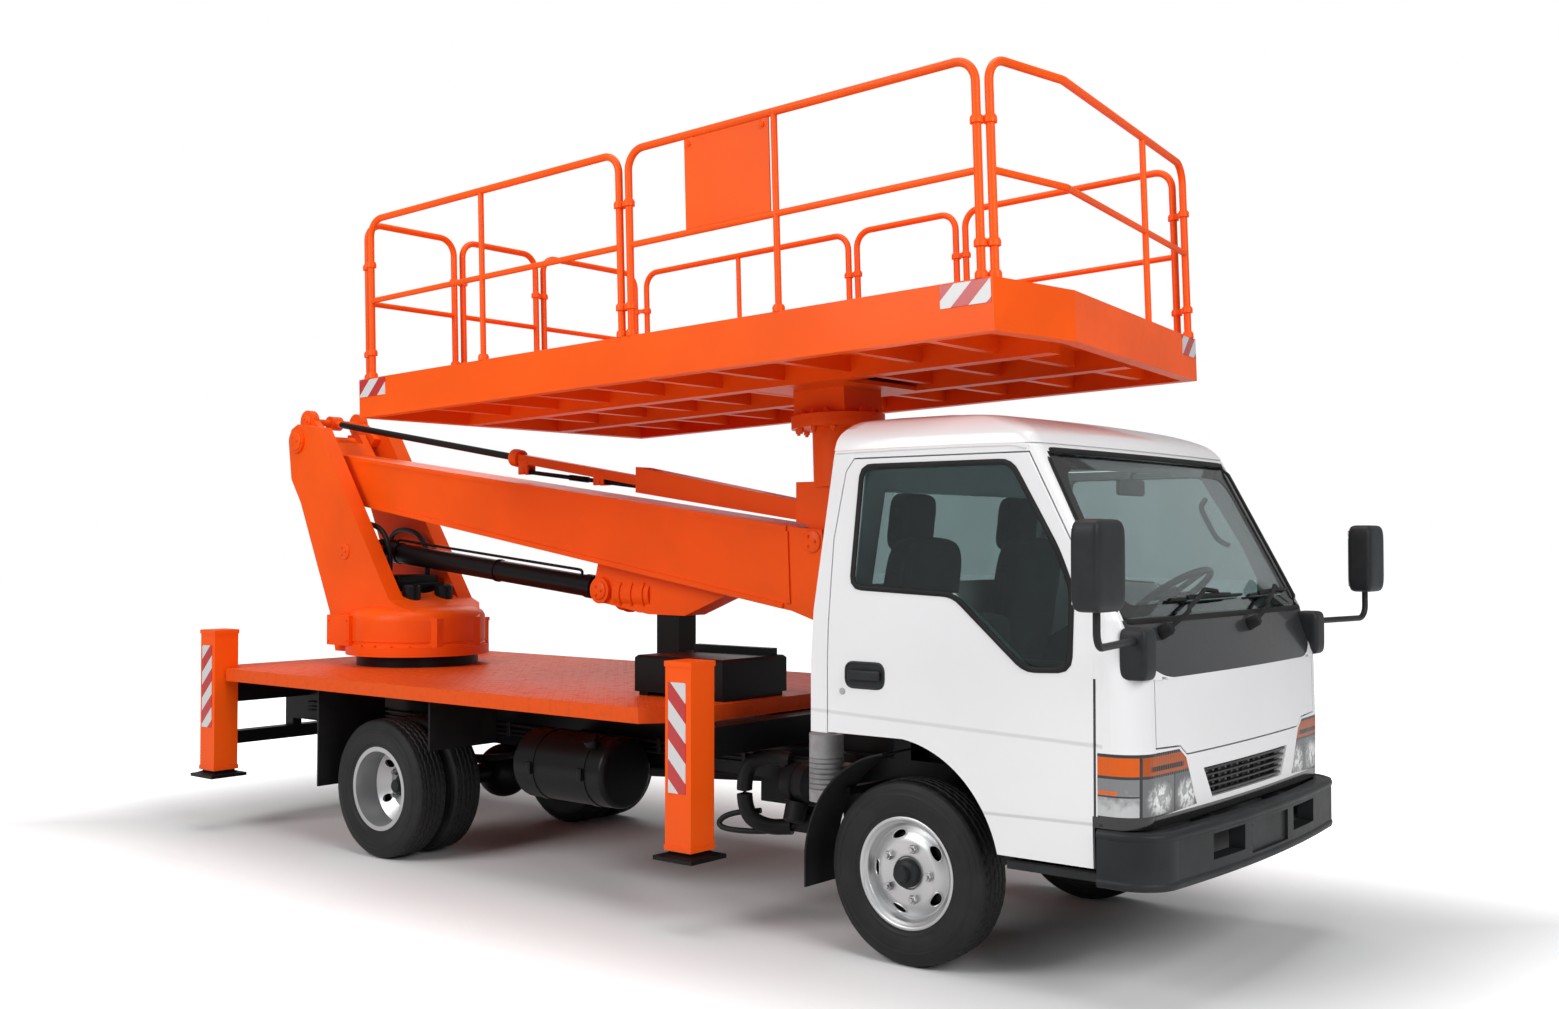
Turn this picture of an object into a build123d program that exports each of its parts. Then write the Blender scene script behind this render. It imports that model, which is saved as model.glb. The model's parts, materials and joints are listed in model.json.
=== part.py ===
from build123d import *
import math
import os

# Cab-over light truck with an aerial work platform: all lengths in millimetres.
# +X is forward, +Y is the truck's left, +Z is up, and the tyres stand on Z = 0.
# Places along X are measured from the front axle until the solids are written.

# Driving dimensions: wheels
WHEELBASE = 3346
TYRE_RADIUS = 368
TYRE_WIDTH = 195
TREAD_WIDTH = 150
SHOULDER_DROP = 14
BEAD_RADIUS = 205
BEAD_WIDTH = 150
RIM_WALL = 7
RIM_FLANGE = 17
FRONT_TRACK_HALF = 736
REAR_TRACK_HALF = 670
TWIN_SPACING = 230
DISC_THICKNESS = 12
FRONT_DISC = -62
FRONT_DISH = 22
REAR_DISH = 50
HUB_LENGTH = 60
HUB_RADIUS = 78
HAND_HOLES = 5
HAND_HOLE_RADIUS = 22
HAND_HOLE_CIRCLE = 160
HAND_HOLE_TURN = 23
DISH_RADIUS = 132
KINGPIN_HALF = 600
KINGPIN_RADIUS = 18
SPINDLE_RADIUS = 30
AXLE_TUBE_RADIUS = 55
RUNNING_CLEARANCE = 0.05
SEAT_CLEARANCE = 0.3

# Driving dimensions: chassis
FRAME_TOP = 740
FRAME_HEIGHT = 150
FRAME_HALF = 375
FLANGE_WIDTH = 60
FRAME_PLATE = 8
FRAME_FRONT = 900
FRAME_REAR = -4880
DECK_TOP = 941
DECK_PLATE = 8
DECK_SKIRT = 71
DECK_HALF = 958
DECK_REAR = -4900
DECK_FRONT = -1140
DECK_NOSE_LENGTH = 200
DECK_NOSE_WIDTH = 260
SUBFRAME_HEIGHT = 130
COLUMN_SIDE = 150
COLUMN_WALL = 10
COLUMN_PROUD = 62
COLUMN_OUT = DECK_HALF + COLUMN_PROUD
COLUMN_LIP = 4
COLUMN_LIP_HEIGHT = 24
COLUMN_TOP = 1165
COLUMN_BOTTOM = 352
FRONT_COLUMN_X = -1040
REAR_COLUMN_X = -4766
LEG_CLEARANCE = 0.5
FOOT_SIDE = 225
FOOT_BOTTOM = 312
FOOT_HEIGHT = 32
FOOT_PLATE = 18
SLEW_X = -4140
SLEW_RADIUS = 425
SLEW_RING_RADIUS = 360
SLEW_RING_HEIGHT = 64
TURNTABLE_PLATE = 55
ENGINE_CLEARANCE = 25
TANK_RADIUS = 172
TANK_CLEARANCE = 53
TANK_FROM_AXLE = 946
TANK_LENGTH = 640
FLAP_FRONT_OF_AXLE = 466
FLAP_BEHIND_AXLE = 500
LINER_RADIUS = 470
LINER_PLATE = 8

# Driving dimensions: cab
CAB_WALL = 45
GLASS_INSET = 14
GLASS_THICKNESS = 6
PANEL_GAP = 6
LID_DEPTH = 22
LAMP_DEPTH = 85
FLOOR_TOP = 945
FLOOR_PLATE = 40
PAN_BOTTOM = 580
PAN_REAR = 470
PAN_FRONT = 870
PAN_CLEARANCE = 25
DASH_HALF = 845
BUMPER_FRONT = 1160
BUMPER_BOTTOM = 455
BUMPER_TOP = 655
BUMPER_WALL = 65
PLATE_HALF_WIDTH = 180
PLATE_HALF_HEIGHT = 60
PLATE_HOLE_RADIUS = 4
PLATE_HOLE_Y = 150
PLATE_HOLE_Z = 40

# Driving dimensions: boom, levelling linkage and platform
BOOM_PIVOT = (-4950, 2310)
BOOM_TIP = (-990, 1680)
LINK_OFFSET = (-60, 130)
PIVOT_RADIUS = 40
LINK_PIN_RADIUS = 22
LINK_HALF = 60
BOOM_HALF = 150
HEEL_LUG = 50
TIP_LUG = 40
TURRET_ARM_IN = 205
TURRET_ARM_OUT = 310
LINK_LUG_IN = 160
ARM_GAP = 6
LIFT_BASE = (-4450, 1620)
LIFT_EYE = (-2470, 1418)
BARREL_RADIUS = 60
ROD_RADIUS = 36
EYE_HALF = 45
CHEEK_PLATE = 25
HOUSING_RADIUS = 92
HOUSING_RIBS = 3
HOUSING_RIB = 8
REST_X = -1998
REST_TOP = 1300
PEDESTAL_X = -945
PEDESTAL_RADIUS = 125
SWING_Z = 2250
SWING_FLANGE_RADIUS = 225
SWING_FLANGE = 30
PLATFORM_BOTTOM = 2400
PLATFORM_TRIM = 1.9
PLATFORM_FRAME = 100
PLATFORM_HALF = 1050
PLATFORM_REAR = -3270
PLATFORM_FRONT = 560
PLATFORM_NOSE = (630, -560)
PLATFORM_FAR_FRONT = 410
TOE_BOARD = 100
TOE_WIDTH = 40
RAIL_TOP = 1028
RAIL_MID = 605
RAIL_RADIUS = 17
MID_RAIL_RADIUS = 14
RAIL_BEND = 90

# The overall length is centred on the origin.
LINK_PIVOT = (BOOM_PIVOT[0] + LINK_OFFSET[0], BOOM_PIVOT[1] + LINK_OFFSET[1])
TURRET_EYE_RADIUS = 72
REAR_END = LINK_PIVOT[0] - TURRET_EYE_RADIUS
LENGTH_SHIFT = -(BUMPER_FRONT + REAR_END) / 2

NODES = {}


def block(x0, x1, y0, y1, z0, z1):
    """Box between two corners."""
    centre = Pos((x0 + x1) / 2, (y0 + y1) / 2, (z0 + z1) / 2)
    return centre * Box(abs(x1 - x0), abs(y1 - y0), abs(z1 - z0))


def side_face(outline, y=0.0):
    """Flat face in a plane across Y from (x, z) points."""
    return make_face(Polyline(*[(x, y, z) for x, z in outline], close=True))


def side_prism(outline, y0, y1):
    """Outline of (x, z) points carried from y0 to y1."""
    return extrude(side_face(outline, y0), amount=y1 - y0, dir=(0, 1, 0))


def front_prism(outline, x0, x1):
    """Outline of (y, z) points carried from x0 to x1."""
    face = make_face(Polyline(*[(x0, y, z) for y, z in outline], close=True))
    return extrude(face, amount=x1 - x0, dir=(1, 0, 0))


def plan_prism(outline, z0, z1):
    """Outline of (x, y) points carried from z0 to z1."""
    face = make_face(Polyline(*[(x, y, z0) for x, y in outline], close=True))
    return extrude(face, amount=z1 - z0, dir=(0, 0, 1))


def rod(start, end, radius):
    """Round bar between two points."""
    path = Line(start, end)
    return sweep(Plane(path @ 0, z_dir=path % 0) * Circle(radius), path=path)


def cross_pin(x, z, radius, y0, y1):
    """Round bar across the truck."""
    return rod((x, y0, z), (x, y1, z), radius)


def upright(x, y, radius, z0, z1):
    """Round bar standing up."""
    return rod((x, y, z0), (x, y, z1), radius)


def other_side(solid):
    return mirror(solid, about=Plane.XZ)


def both_sides(solid):
    return [solid, other_side(solid)]


def apart(*groups):
    """One node of solids that do not touch each other."""
    solids = []
    for group in groups:
        for shape in group if isinstance(group, list) else [group]:
            solids.extend(shape.solids())
    return Compound(solids)


# Wheels: every wheel is first made round the Y axis at the origin, outside towards -Y.
def tyre():
    half = TYRE_WIDTH / 2
    wall = BEAD_RADIUS + 0.55 * (TYRE_RADIUS - BEAD_RADIUS)
    clinch = BEAD_RADIUS + RIM_FLANGE
    profile = [
        (BEAD_RADIUS, -BEAD_WIDTH / 2),
        (clinch, -BEAD_WIDTH / 2),
        (wall, -half),
        (TYRE_RADIUS - SHOULDER_DROP, -TREAD_WIDTH / 2 - SHOULDER_DROP),
        (TYRE_RADIUS, -TREAD_WIDTH / 2),
        (TYRE_RADIUS, TREAD_WIDTH / 2),
        (TYRE_RADIUS - SHOULDER_DROP, TREAD_WIDTH / 2 + SHOULDER_DROP),
        (wall, half),
        (clinch, BEAD_WIDTH / 2),
        (BEAD_RADIUS, BEAD_WIDTH / 2),
    ]
    return turned(profile)


def turned(profile):
    """Solid of revolution about Y from (radius, y) points."""
    face = make_face(Polyline(*[(r, y, 0) for r, y in profile], close=True))
    return revolve(face, axis=Axis.Y)


def rim(disc_y, seat_y, hub_to, bore):
    """Rim barrel with flanges, a disc dished from seat_y at the barrel to disc_y, and a bored hub."""
    seat = BEAD_RADIUS - SEAT_CLEARANCE
    edge = BEAD_WIDTH / 2
    lip = BEAD_RADIUS + RIM_FLANGE
    inner = seat - RIM_WALL
    barrel = turned(
        [
            (inner, -edge - RIM_WALL),
            (lip, -edge - RIM_WALL),
            (lip, -edge - SEAT_CLEARANCE),
            (seat, -edge - SEAT_CLEARANCE),
            (seat, edge + SEAT_CLEARANCE),
            (lip, edge + SEAT_CLEARANCE),
            (lip, edge + RIM_WALL),
            (inner, edge + RIM_WALL),
        ]
    )
    disc_half = DISC_THICKNESS / 2
    disc = turned(
        [
            (bore, disc_y - disc_half),
            (DISH_RADIUS, disc_y - disc_half),
            (inner, seat_y - disc_half),
            (inner, seat_y + disc_half),
            (DISH_RADIUS, disc_y + disc_half),
            (bore, disc_y + disc_half),
        ]
    )
    hub = turned([(bore, disc_y), (HUB_RADIUS, disc_y), (HUB_RADIUS, hub_to), (bore, hub_to)])
    wheel = barrel + disc + hub
    for index in range(HAND_HOLES):
        turn = Rot(0, HAND_HOLE_TURN + 360 / HAND_HOLES * index, 0)
        hole = turn * cross_pin(0, HAND_HOLE_CIRCLE, HAND_HOLE_RADIUS, -TYRE_WIDTH, TYRE_WIDTH)
        wheel = wheel - hole
    return wheel


def make_wheels():
    axle_z = TYRE_RADIUS
    spindle_bore = SPINDLE_RADIUS + RUNNING_CLEARANCE
    front_rim = rim(FRONT_DISC, FRONT_DISC + FRONT_DISH, FRONT_DISC + HUB_LENGTH, spindle_bore)
    front_place = Pos(0, -FRONT_TRACK_HALF, axle_z)
    NODES["front_tyre_right"] = front_place * tyre()
    NODES["front_rim_right"] = front_place * front_rim
    axle_bore = AXLE_TUBE_RADIUS + RUNNING_CLEARANCE
    half_gap = TWIN_SPACING / 2
    disc_y = half_gap - DISC_THICKNESS / 2
    outer = Pos(0, -half_gap, 0) * rim(disc_y, disc_y - REAR_DISH, half_gap, axle_bore)
    inner = Pos(0, half_gap, 0) * rim(-disc_y, REAR_DISH - disc_y, HUB_LENGTH - disc_y, axle_bore)
    twin_place = Pos(-WHEELBASE, -REAR_TRACK_HALF, axle_z)
    NODES["rear_rims_right"] = twin_place * (outer + inner)
    twins = [Pos(0, y, 0) * tyre() for y in (-half_gap, half_gap)]
    NODES["rear_tyres_right"] = twin_place * apart(twins)
    for name in ("front_tyre", "front_rim", "rear_rims", "rear_tyres"):
        NODES[name + "_left"] = other_side(NODES[name + "_right"])


# Axles, knuckles and springs
AXLE_EYE_RADIUS = 42
AXLE_EYE_HALF = 60
YOKE_PLATE = 28
YOKE_GAP = 1
SPRING_SEAT_FRONT = 400
SPRING_SEAT_REAR = TYRE_RADIUS + AXLE_TUBE_RADIUS + 12
SPRING_REACH = 560
SPRING_PACK = 46


def make_axles():
    z = TYRE_RADIUS
    inner = FRAME_HALF - FLANGE_WIDTH
    beam = block(-42, 42, -KINGPIN_HALF, KINGPIN_HALF, z - 75, z - 15)
    for side in (-1, 1):
        seat = block(-70, 70, side * inner, side * FRAME_HALF, z - 75, SPRING_SEAT_FRONT)
        eye = upright(0, side * KINGPIN_HALF, AXLE_EYE_RADIUS, z - AXLE_EYE_HALF, z + AXLE_EYE_HALF)
        beam = beam + seat + eye
    for side in (-1, 1):
        bore = KINGPIN_RADIUS + RUNNING_CLEARANCE
        relief = AXLE_EYE_RADIUS + 8
        stack = AXLE_EYE_HALF + YOKE_GAP + YOKE_PLATE + 6
        keep = upright(0, side * KINGPIN_HALF, relief, z - stack, z - AXLE_EYE_HALF)
        beam = beam - upright(0, side * KINGPIN_HALF, bore, z - stack, z + stack) - keep
    NODES["front_axle"] = beam

    top = AXLE_EYE_HALF + YOKE_GAP + YOKE_PLATE
    web_out = -KINGPIN_HALF - AXLE_EYE_RADIUS - 8
    knuckle = upright(0, -KINGPIN_HALF, KINGPIN_RADIUS, z - top, z + top)
    for low, high in ((z + AXLE_EYE_HALF + YOKE_GAP, z + top), (z - top, z - AXLE_EYE_HALF - YOKE_GAP)):
        knuckle = knuckle + block(-34, 34, web_out, -KINGPIN_HALF + 34, low, high)
    knuckle = knuckle + block(-34, 34, web_out - 16, web_out, z - top, z + top)
    knuckle = knuckle + cross_pin(0, z, SPINDLE_RADIUS, web_out, -FRONT_TRACK_HALF + FRONT_DISC)
    NODES["knuckle_right"] = knuckle
    NODES["knuckle_left"] = other_side(knuckle)

    axle_end = REAR_TRACK_HALF - DISC_THICKNESS
    rear = cross_pin(-WHEELBASE, z, AXLE_TUBE_RADIUS, -axle_end, axle_end)
    rear = rear + Pos(-WHEELBASE, 0, z) * Sphere(150)
    for side in (-1, 1):
        seat = block(-70, 70, side * inner, side * FRAME_HALF, z - 70, SPRING_SEAT_REAR)
        rear = rear + Pos(-WHEELBASE, 0, 0) * seat
    NODES["rear_axle"] = rear

    springs = []
    for axle_x, seat in ((0, SPRING_SEAT_FRONT), (-WHEELBASE, SPRING_SEAT_REAR)):
        low = seat + 20
        eye = FRAME_TOP - FRAME_HEIGHT - 35
        crown = (0, inner, low + SPRING_PACK)
        upper = ThreePointArc((-SPRING_REACH, inner, eye + 12), crown, (SPRING_REACH, inner, eye + 12))
        root = (0, inner, low)
        lower = ThreePointArc((SPRING_REACH, inner, eye - 8), root, (-SPRING_REACH, inner, eye - 8))
        ends = [Line(upper @ 1, lower @ 0), Line(lower @ 1, upper @ 0)]
        pack = extrude(make_face([upper, ends[0], lower, ends[1]]), amount=FLANGE_WIDTH, dir=(0, 1, 0))
        spring = pack + block(-60, 60, inner, FRAME_HALF, seat, low + 10)
        for end in (-1, 1):
            near = end * SPRING_REACH
            hanger_top = FRAME_TOP - FRAME_HEIGHT
            spring = spring + block(near - 22, near + 22, inner, FRAME_HALF, eye - 20, hanger_top)
        springs.extend(both_sides(Pos(axle_x, 0, 0) * spring))
    NODES["leaf_springs"] = apart(springs)


# Chassis
CROSS_MEMBERS = (720, -1600, -2500, -4300, -4780)
CAB_MOUNTS = (760, -320)
BAR_REAR = -4960
BAR_HALF = 760
BAR_BOTTOM = 470
BAR_HEIGHT = 75
FLAP_FRONT = -WHEELBASE + FLAP_FRONT_OF_AXLE
FLAP_REAR = -WHEELBASE - FLAP_BEHIND_AXLE


def make_chassis():
    bottom = FRAME_TOP - FRAME_HEIGHT
    inner = FRAME_HALF - FLANGE_WIDTH
    rail = block(FRAME_REAR, FRAME_FRONT, -FRAME_HALF, -inner, bottom, FRAME_TOP)
    web = FRAME_HALF - FRAME_PLATE
    rail = rail - block(FRAME_REAR, FRAME_FRONT, -web, -inner, bottom + FRAME_PLATE, FRAME_TOP - FRAME_PLATE)
    for x in CAB_MOUNTS:
        rail = rail + block(x - 45, x + 45, -FRAME_HALF, -inner, FRAME_TOP, FLOOR_TOP - FLOOR_PLATE)
    NODES["frame_rails"] = apart(both_sides(rail))
    members = []
    for x in CROSS_MEMBERS:
        members.append(block(x - 35, x + 35, -web, web, bottom + 30, FRAME_TOP - 30))

    engine_half = inner - ENGINE_CLEARANCE
    engine = block(-700, 350, -engine_half, engine_half, 440, 850)
    gearbox = block(-1300, -700, -150, 150, 430, 690)
    engine = engine + gearbox
    for x in (-520, 150):
        engine = engine + block(x - 60, x + 60, -web, web, bottom + 50, FRAME_TOP - 40)
    NODES["engine_block"] = engine
    shaft = rod((-1300, 0, 540), (-WHEELBASE + 140, 0, 420), 40)
    NODES["drive_shaft"] = shaft - engine - NODES["rear_axle"]

    tank_y = -FRAME_HALF - TANK_CLEARANCE - TANK_RADIUS
    tank_rear = -WHEELBASE + TANK_FROM_AXLE
    tank = rod((tank_rear, tank_y, 570), (tank_rear + TANK_LENGTH, tank_y, 570), TANK_RADIUS)
    tank = fillet(tank.edges().filter_by(GeomType.CIRCLE), 30)
    for share in (0.22, 0.78):
        x = tank_rear + share * TANK_LENGTH
        tank = tank + block(x - 25, x + 25, tank_y, -FRAME_HALF, 640, 700)
    NODES["fuel_tank"] = tank

    cleaner = upright(-590, -560, 75, 560, 850) + upright(-590, -560, 45, 850, 890)
    cleaner = cleaner + block(-620, -560, -560, -FRAME_HALF, 640, 700)
    NODES["air_cleaner"] = cleaner

    flaps = []
    for x, low in ((FLAP_REAR, 335), (FLAP_FRONT, 610)):
        flaps.extend(both_sides(block(x - 6, x + 6, -900, -460, low, DECK_TOP - DECK_SKIRT)))
    liner_out = LINER_RADIUS + LINER_PLATE
    half_way = math.radians(140)
    tip = math.radians(100)
    outer_arc = ThreePointArc(
        (-liner_out, 0, TYRE_RADIUS),
        (liner_out * math.cos(half_way), 0, TYRE_RADIUS + liner_out * math.sin(half_way)),
        (liner_out * math.cos(tip), 0, TYRE_RADIUS + liner_out * math.sin(tip)),
    )
    inner_arc = ThreePointArc(
        (LINER_RADIUS * math.cos(tip), 0, TYRE_RADIUS + LINER_RADIUS * math.sin(tip)),
        (LINER_RADIUS * math.cos(half_way), 0, TYRE_RADIUS + LINER_RADIUS * math.sin(half_way)),
        (-LINER_RADIUS, 0, TYRE_RADIUS),
    )
    ends = [Line(outer_arc @ 1, inner_arc @ 0), Line(inner_arc @ 1, outer_arc @ 0)]
    liner = extrude(make_face([outer_arc, ends[0], inner_arc, ends[1]]), amount=220, dir=(0, 1, 0))
    front_flap = Pos(0, -860, 0) * liner
    front_flap = front_flap + block(-liner_out, -LINER_RADIUS, -860, -640, 255, TYRE_RADIUS + 40)
    bracket_x = -liner_out * math.cos(math.radians(35))
    front_flap = front_flap + block(bracket_x, bracket_x + 30, -700, -FRAME_HALF, 625, 655)
    NODES["mud_flaps"] = apart(flaps, both_sides(front_flap))

    bar = block(BAR_REAR, FRAME_REAR, -BAR_HALF, BAR_HALF, BAR_BOTTOM, BAR_BOTTOM + BAR_HEIGHT)
    for side in (-1, 1):
        bar = bar + block(BAR_REAR, FRAME_REAR, side * inner, side * FRAME_HALF, BAR_BOTTOM, FRAME_TOP - 10)
    NODES["cross_members"] = apart(members, bar)


# Deck with its subframe, outriggers and boom rest
DECK_BEARERS = (-4600, FLAP_REAR, FLAP_FRONT, -2400, -1900, -1400)


def make_deck():
    bearer_bottom = DECK_TOP - DECK_SKIRT
    notch_y = COLUMN_OUT - COLUMN_SIDE - 20
    notch_x = REAR_COLUMN_X + COLUMN_SIDE / 2 + 12
    outline = [
        (DECK_REAR, -notch_y),
        (notch_x, -notch_y),
        (notch_x, -DECK_HALF),
        (DECK_FRONT - DECK_NOSE_LENGTH, -DECK_HALF),
        (DECK_FRONT, -DECK_HALF + DECK_NOSE_WIDTH),
    ]
    outline = outline + [(x, -y) for x, y in reversed(outline)]
    plate_bottom = DECK_TOP - DECK_PLATE
    deck = plan_prism(outline, bearer_bottom, DECK_TOP)
    face = make_face(Polyline(*[(x, y, bearer_bottom) for x, y in outline], close=True))
    inside = offset(face, amount=-DECK_PLATE, kind=Kind.INTERSECTION)
    deck = deck - extrude(inside, amount=plate_bottom - bearer_bottom, dir=(0, 0, 1))
    reach = DECK_HALF - DECK_PLATE / 2
    for x in DECK_BEARERS:
        deck = deck + block(x - 30, x + 30, -reach, reach, bearer_bottom, plate_bottom + 1)
    NODES["deck"] = deck

    inner = FRAME_HALF - FLANGE_WIDTH
    beam_half = 55
    sub_rear = REAR_COLUMN_X + beam_half
    sub_front = FRONT_COLUMN_X - beam_half
    sub_rail = block(sub_rear, sub_front, -FRAME_HALF, -inner, FRAME_TOP, bearer_bottom)
    NODES["subframe"] = apart(both_sides(sub_rail))

    half = COLUMN_SIDE / 2
    column_y = COLUMN_OUT - half
    bore = half - COLUMN_WALL
    frames = []
    for x in (FRONT_COLUMN_X, REAR_COLUMN_X):
        beam_out = column_y - half
        frame = block(x - beam_half, x + beam_half, -beam_out, beam_out, FRAME_TOP, bearer_bottom)
        for side in (-1, 1):
            y = side * column_y
            frame = frame + block(x - half, x + half, y - half, y + half, COLUMN_BOTTOM, COLUMN_TOP)
            lip = half + COLUMN_LIP
            for low in (COLUMN_BOTTOM, COLUMN_TOP - COLUMN_LIP_HEIGHT):
                frame = frame + block(x - lip, x + lip, y - lip, y + lip, low, low + COLUMN_LIP_HEIGHT)
            well_top = COLUMN_TOP - COLUMN_WALL
            frame = frame - block(x - bore, x + bore, y - bore, y + bore, COLUMN_BOTTOM, well_top)
        frames.append(frame)
    NODES["outrigger_frames"] = apart(frames)

    leg = bore - LEG_CLEARANCE
    foot = FOOT_SIDE / 2
    for end, x in (("front", FRONT_COLUMN_X), ("rear", REAR_COLUMN_X)):
        y = -column_y
        shoulder = FOOT_BOTTOM + FOOT_HEIGHT
        corners = ((1, 1), (-1, 1), (-1, -1), (1, -1))
        post = block(x - leg, x + leg, y - leg, y + leg, shoulder, COLUMN_TOP - 80)
        plate = block(x - foot, x + foot, y - foot, y + foot, FOOT_BOTTOM, FOOT_BOTTOM + FOOT_PLATE)
        wide = [(x + i * (foot - 14), y + j * (foot - 14), FOOT_BOTTOM + FOOT_PLATE) for i, j in corners]
        narrow = [(x + i * leg, y + j * leg, shoulder) for i, j in corners]
        cone = loft([make_face(Polyline(*wide, close=True)), make_face(Polyline(*narrow, close=True))])
        stand = post + plate + cone
        NODES["outrigger_leg_" + end + "_right"] = stand
        NODES["outrigger_leg_" + end + "_left"] = other_side(stand)

    NODES["boom_rest"] = block(REST_X - 78, REST_X + 78, -65, 65, DECK_TOP, REST_TOP - SEAT_CLEARANCE)
    cabinet = block(-1750, -1190, -560, -90, DECK_TOP + 20, 1135)
    cabinet = chamfer(cabinet.edges().group_by(Axis.Z)[-1], 12)
    for x in (-1710, -1230):
        cabinet = cabinet + block(x - 30, x + 30, -540, -110, DECK_TOP, DECK_TOP + 20)
    NODES["deck_cabinet"] = cabinet + block(-1720, -1220, -170, -125, 1135, 1168)
    NODES["slew_ring"] = upright(SLEW_X, 0, SLEW_RING_RADIUS, DECK_TOP, DECK_TOP + SLEW_RING_HEIGHT)


# Cab body: plan sections from the sill to the roof crown, lofted straight from one to the next.
# Columns: z, half width, back x, side end x, corner end x, corner width, front x
CAB_SECTIONS = (
    (480, 892, -411, 930, 1035, 120, 1062),
    (690, 900, -411, 935, 1045, 125, 1074),
    (900, 900, -411, 935, 1047, 125, 1076),
    (1188, 900, -411, 925, 1040, 125, 1068),
    (1400, 893, -402, 900, 962, 50, 985),
    (2040, 866, -314, 560, 622, 50, 650),
    (2105, 846, -302, 500, 565, 70, 600),
    (2155, 790, -268, 360, 440, 110, 478),
    (2185, 650, -185, 120, 200, 140, 240),
)
ROOF_EDGE = 2040
ARC_ACROSS = math.sin(math.pi / 4)


def cab_section(row, inset):
    z, half, back, side, corner, corner_width, front = row
    height = z - inset if z > ROOF_EDGE else z
    h = half - inset
    b = back + inset
    s = side - inset / 2
    c = corner - inset
    k = half - corner_width - inset / 2
    f = front - inset
    bend = (s + (c - s) * ARC_ACROSS, h - (h - k) * (1 - ARC_ACROSS))
    edges = [
        Line((b, -h, height), (b, h, height)),
        Line((b, h, height), (s, h, height)),
        ThreePointArc((s, h, height), (bend[0], bend[1], height), (c, k, height)),
        ThreePointArc((c, k, height), (f, 0, height), (c, -k, height)),
        ThreePointArc((c, -k, height), (bend[0], -bend[1], height), (s, -h, height)),
        Line((s, -h, height), (b, -h, height)),
    ]
    return Face(Wire(edges))


def cab_body(inset):
    return loft([cab_section(row, inset) for row in CAB_SECTIONS], ruled=True)


DOOR_REAR = -329
DOOR_FRONT = 868
DOOR_SILL = 508
DOOR_TOP = 2018
HINGE_TOP = 1500
ARCH_TOP = 903
DOOR_REAR_EDGE = ((-215, DOOR_TOP), (-256, 1965), (-310, 1690), (DOOR_REAR, 1340))
WINDOW_OUTLINE = (
    (-207, 1502),
    (271, 1482),
    (590, 1213),
    (765, 1222),
    (771, 1505),
    (708, 1648),
    (510, 1975),
    (-168, 1975),
)
OUTSIDE = 1000
DOOR_INSIDE = 815
SCREEN_LOW = 1398
LID_TOP = 1188
LID_HALF = 776


def door_outline():
    edge = Polyline(
        (458, 0, DOOR_SILL),
        (DOOR_FRONT, 0, DOOR_SILL),
        (DOOR_FRONT, 0, HINGE_TOP),
        (772, 0, 1685),
        (592, 0, DOOR_TOP),
        *[(x, 0, z) for x, z in DOOR_REAR_EDGE],
        (DOOR_REAR, 0, ARCH_TOP),
        (40, 0, ARCH_TOP),
    )
    arch = ThreePointArc((40, 0, ARCH_TOP), (316, 0, 770), (458, 0, DOOR_SILL))
    return make_face([*edge.edges(), arch])


def right_side(face):
    """Carries a face in the middle plane out through the right wall."""
    return Pos(0, -OUTSIDE, 0) * extrude(face, amount=OUTSIDE - DOOR_INSIDE, dir=(0, 1, 0))


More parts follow.
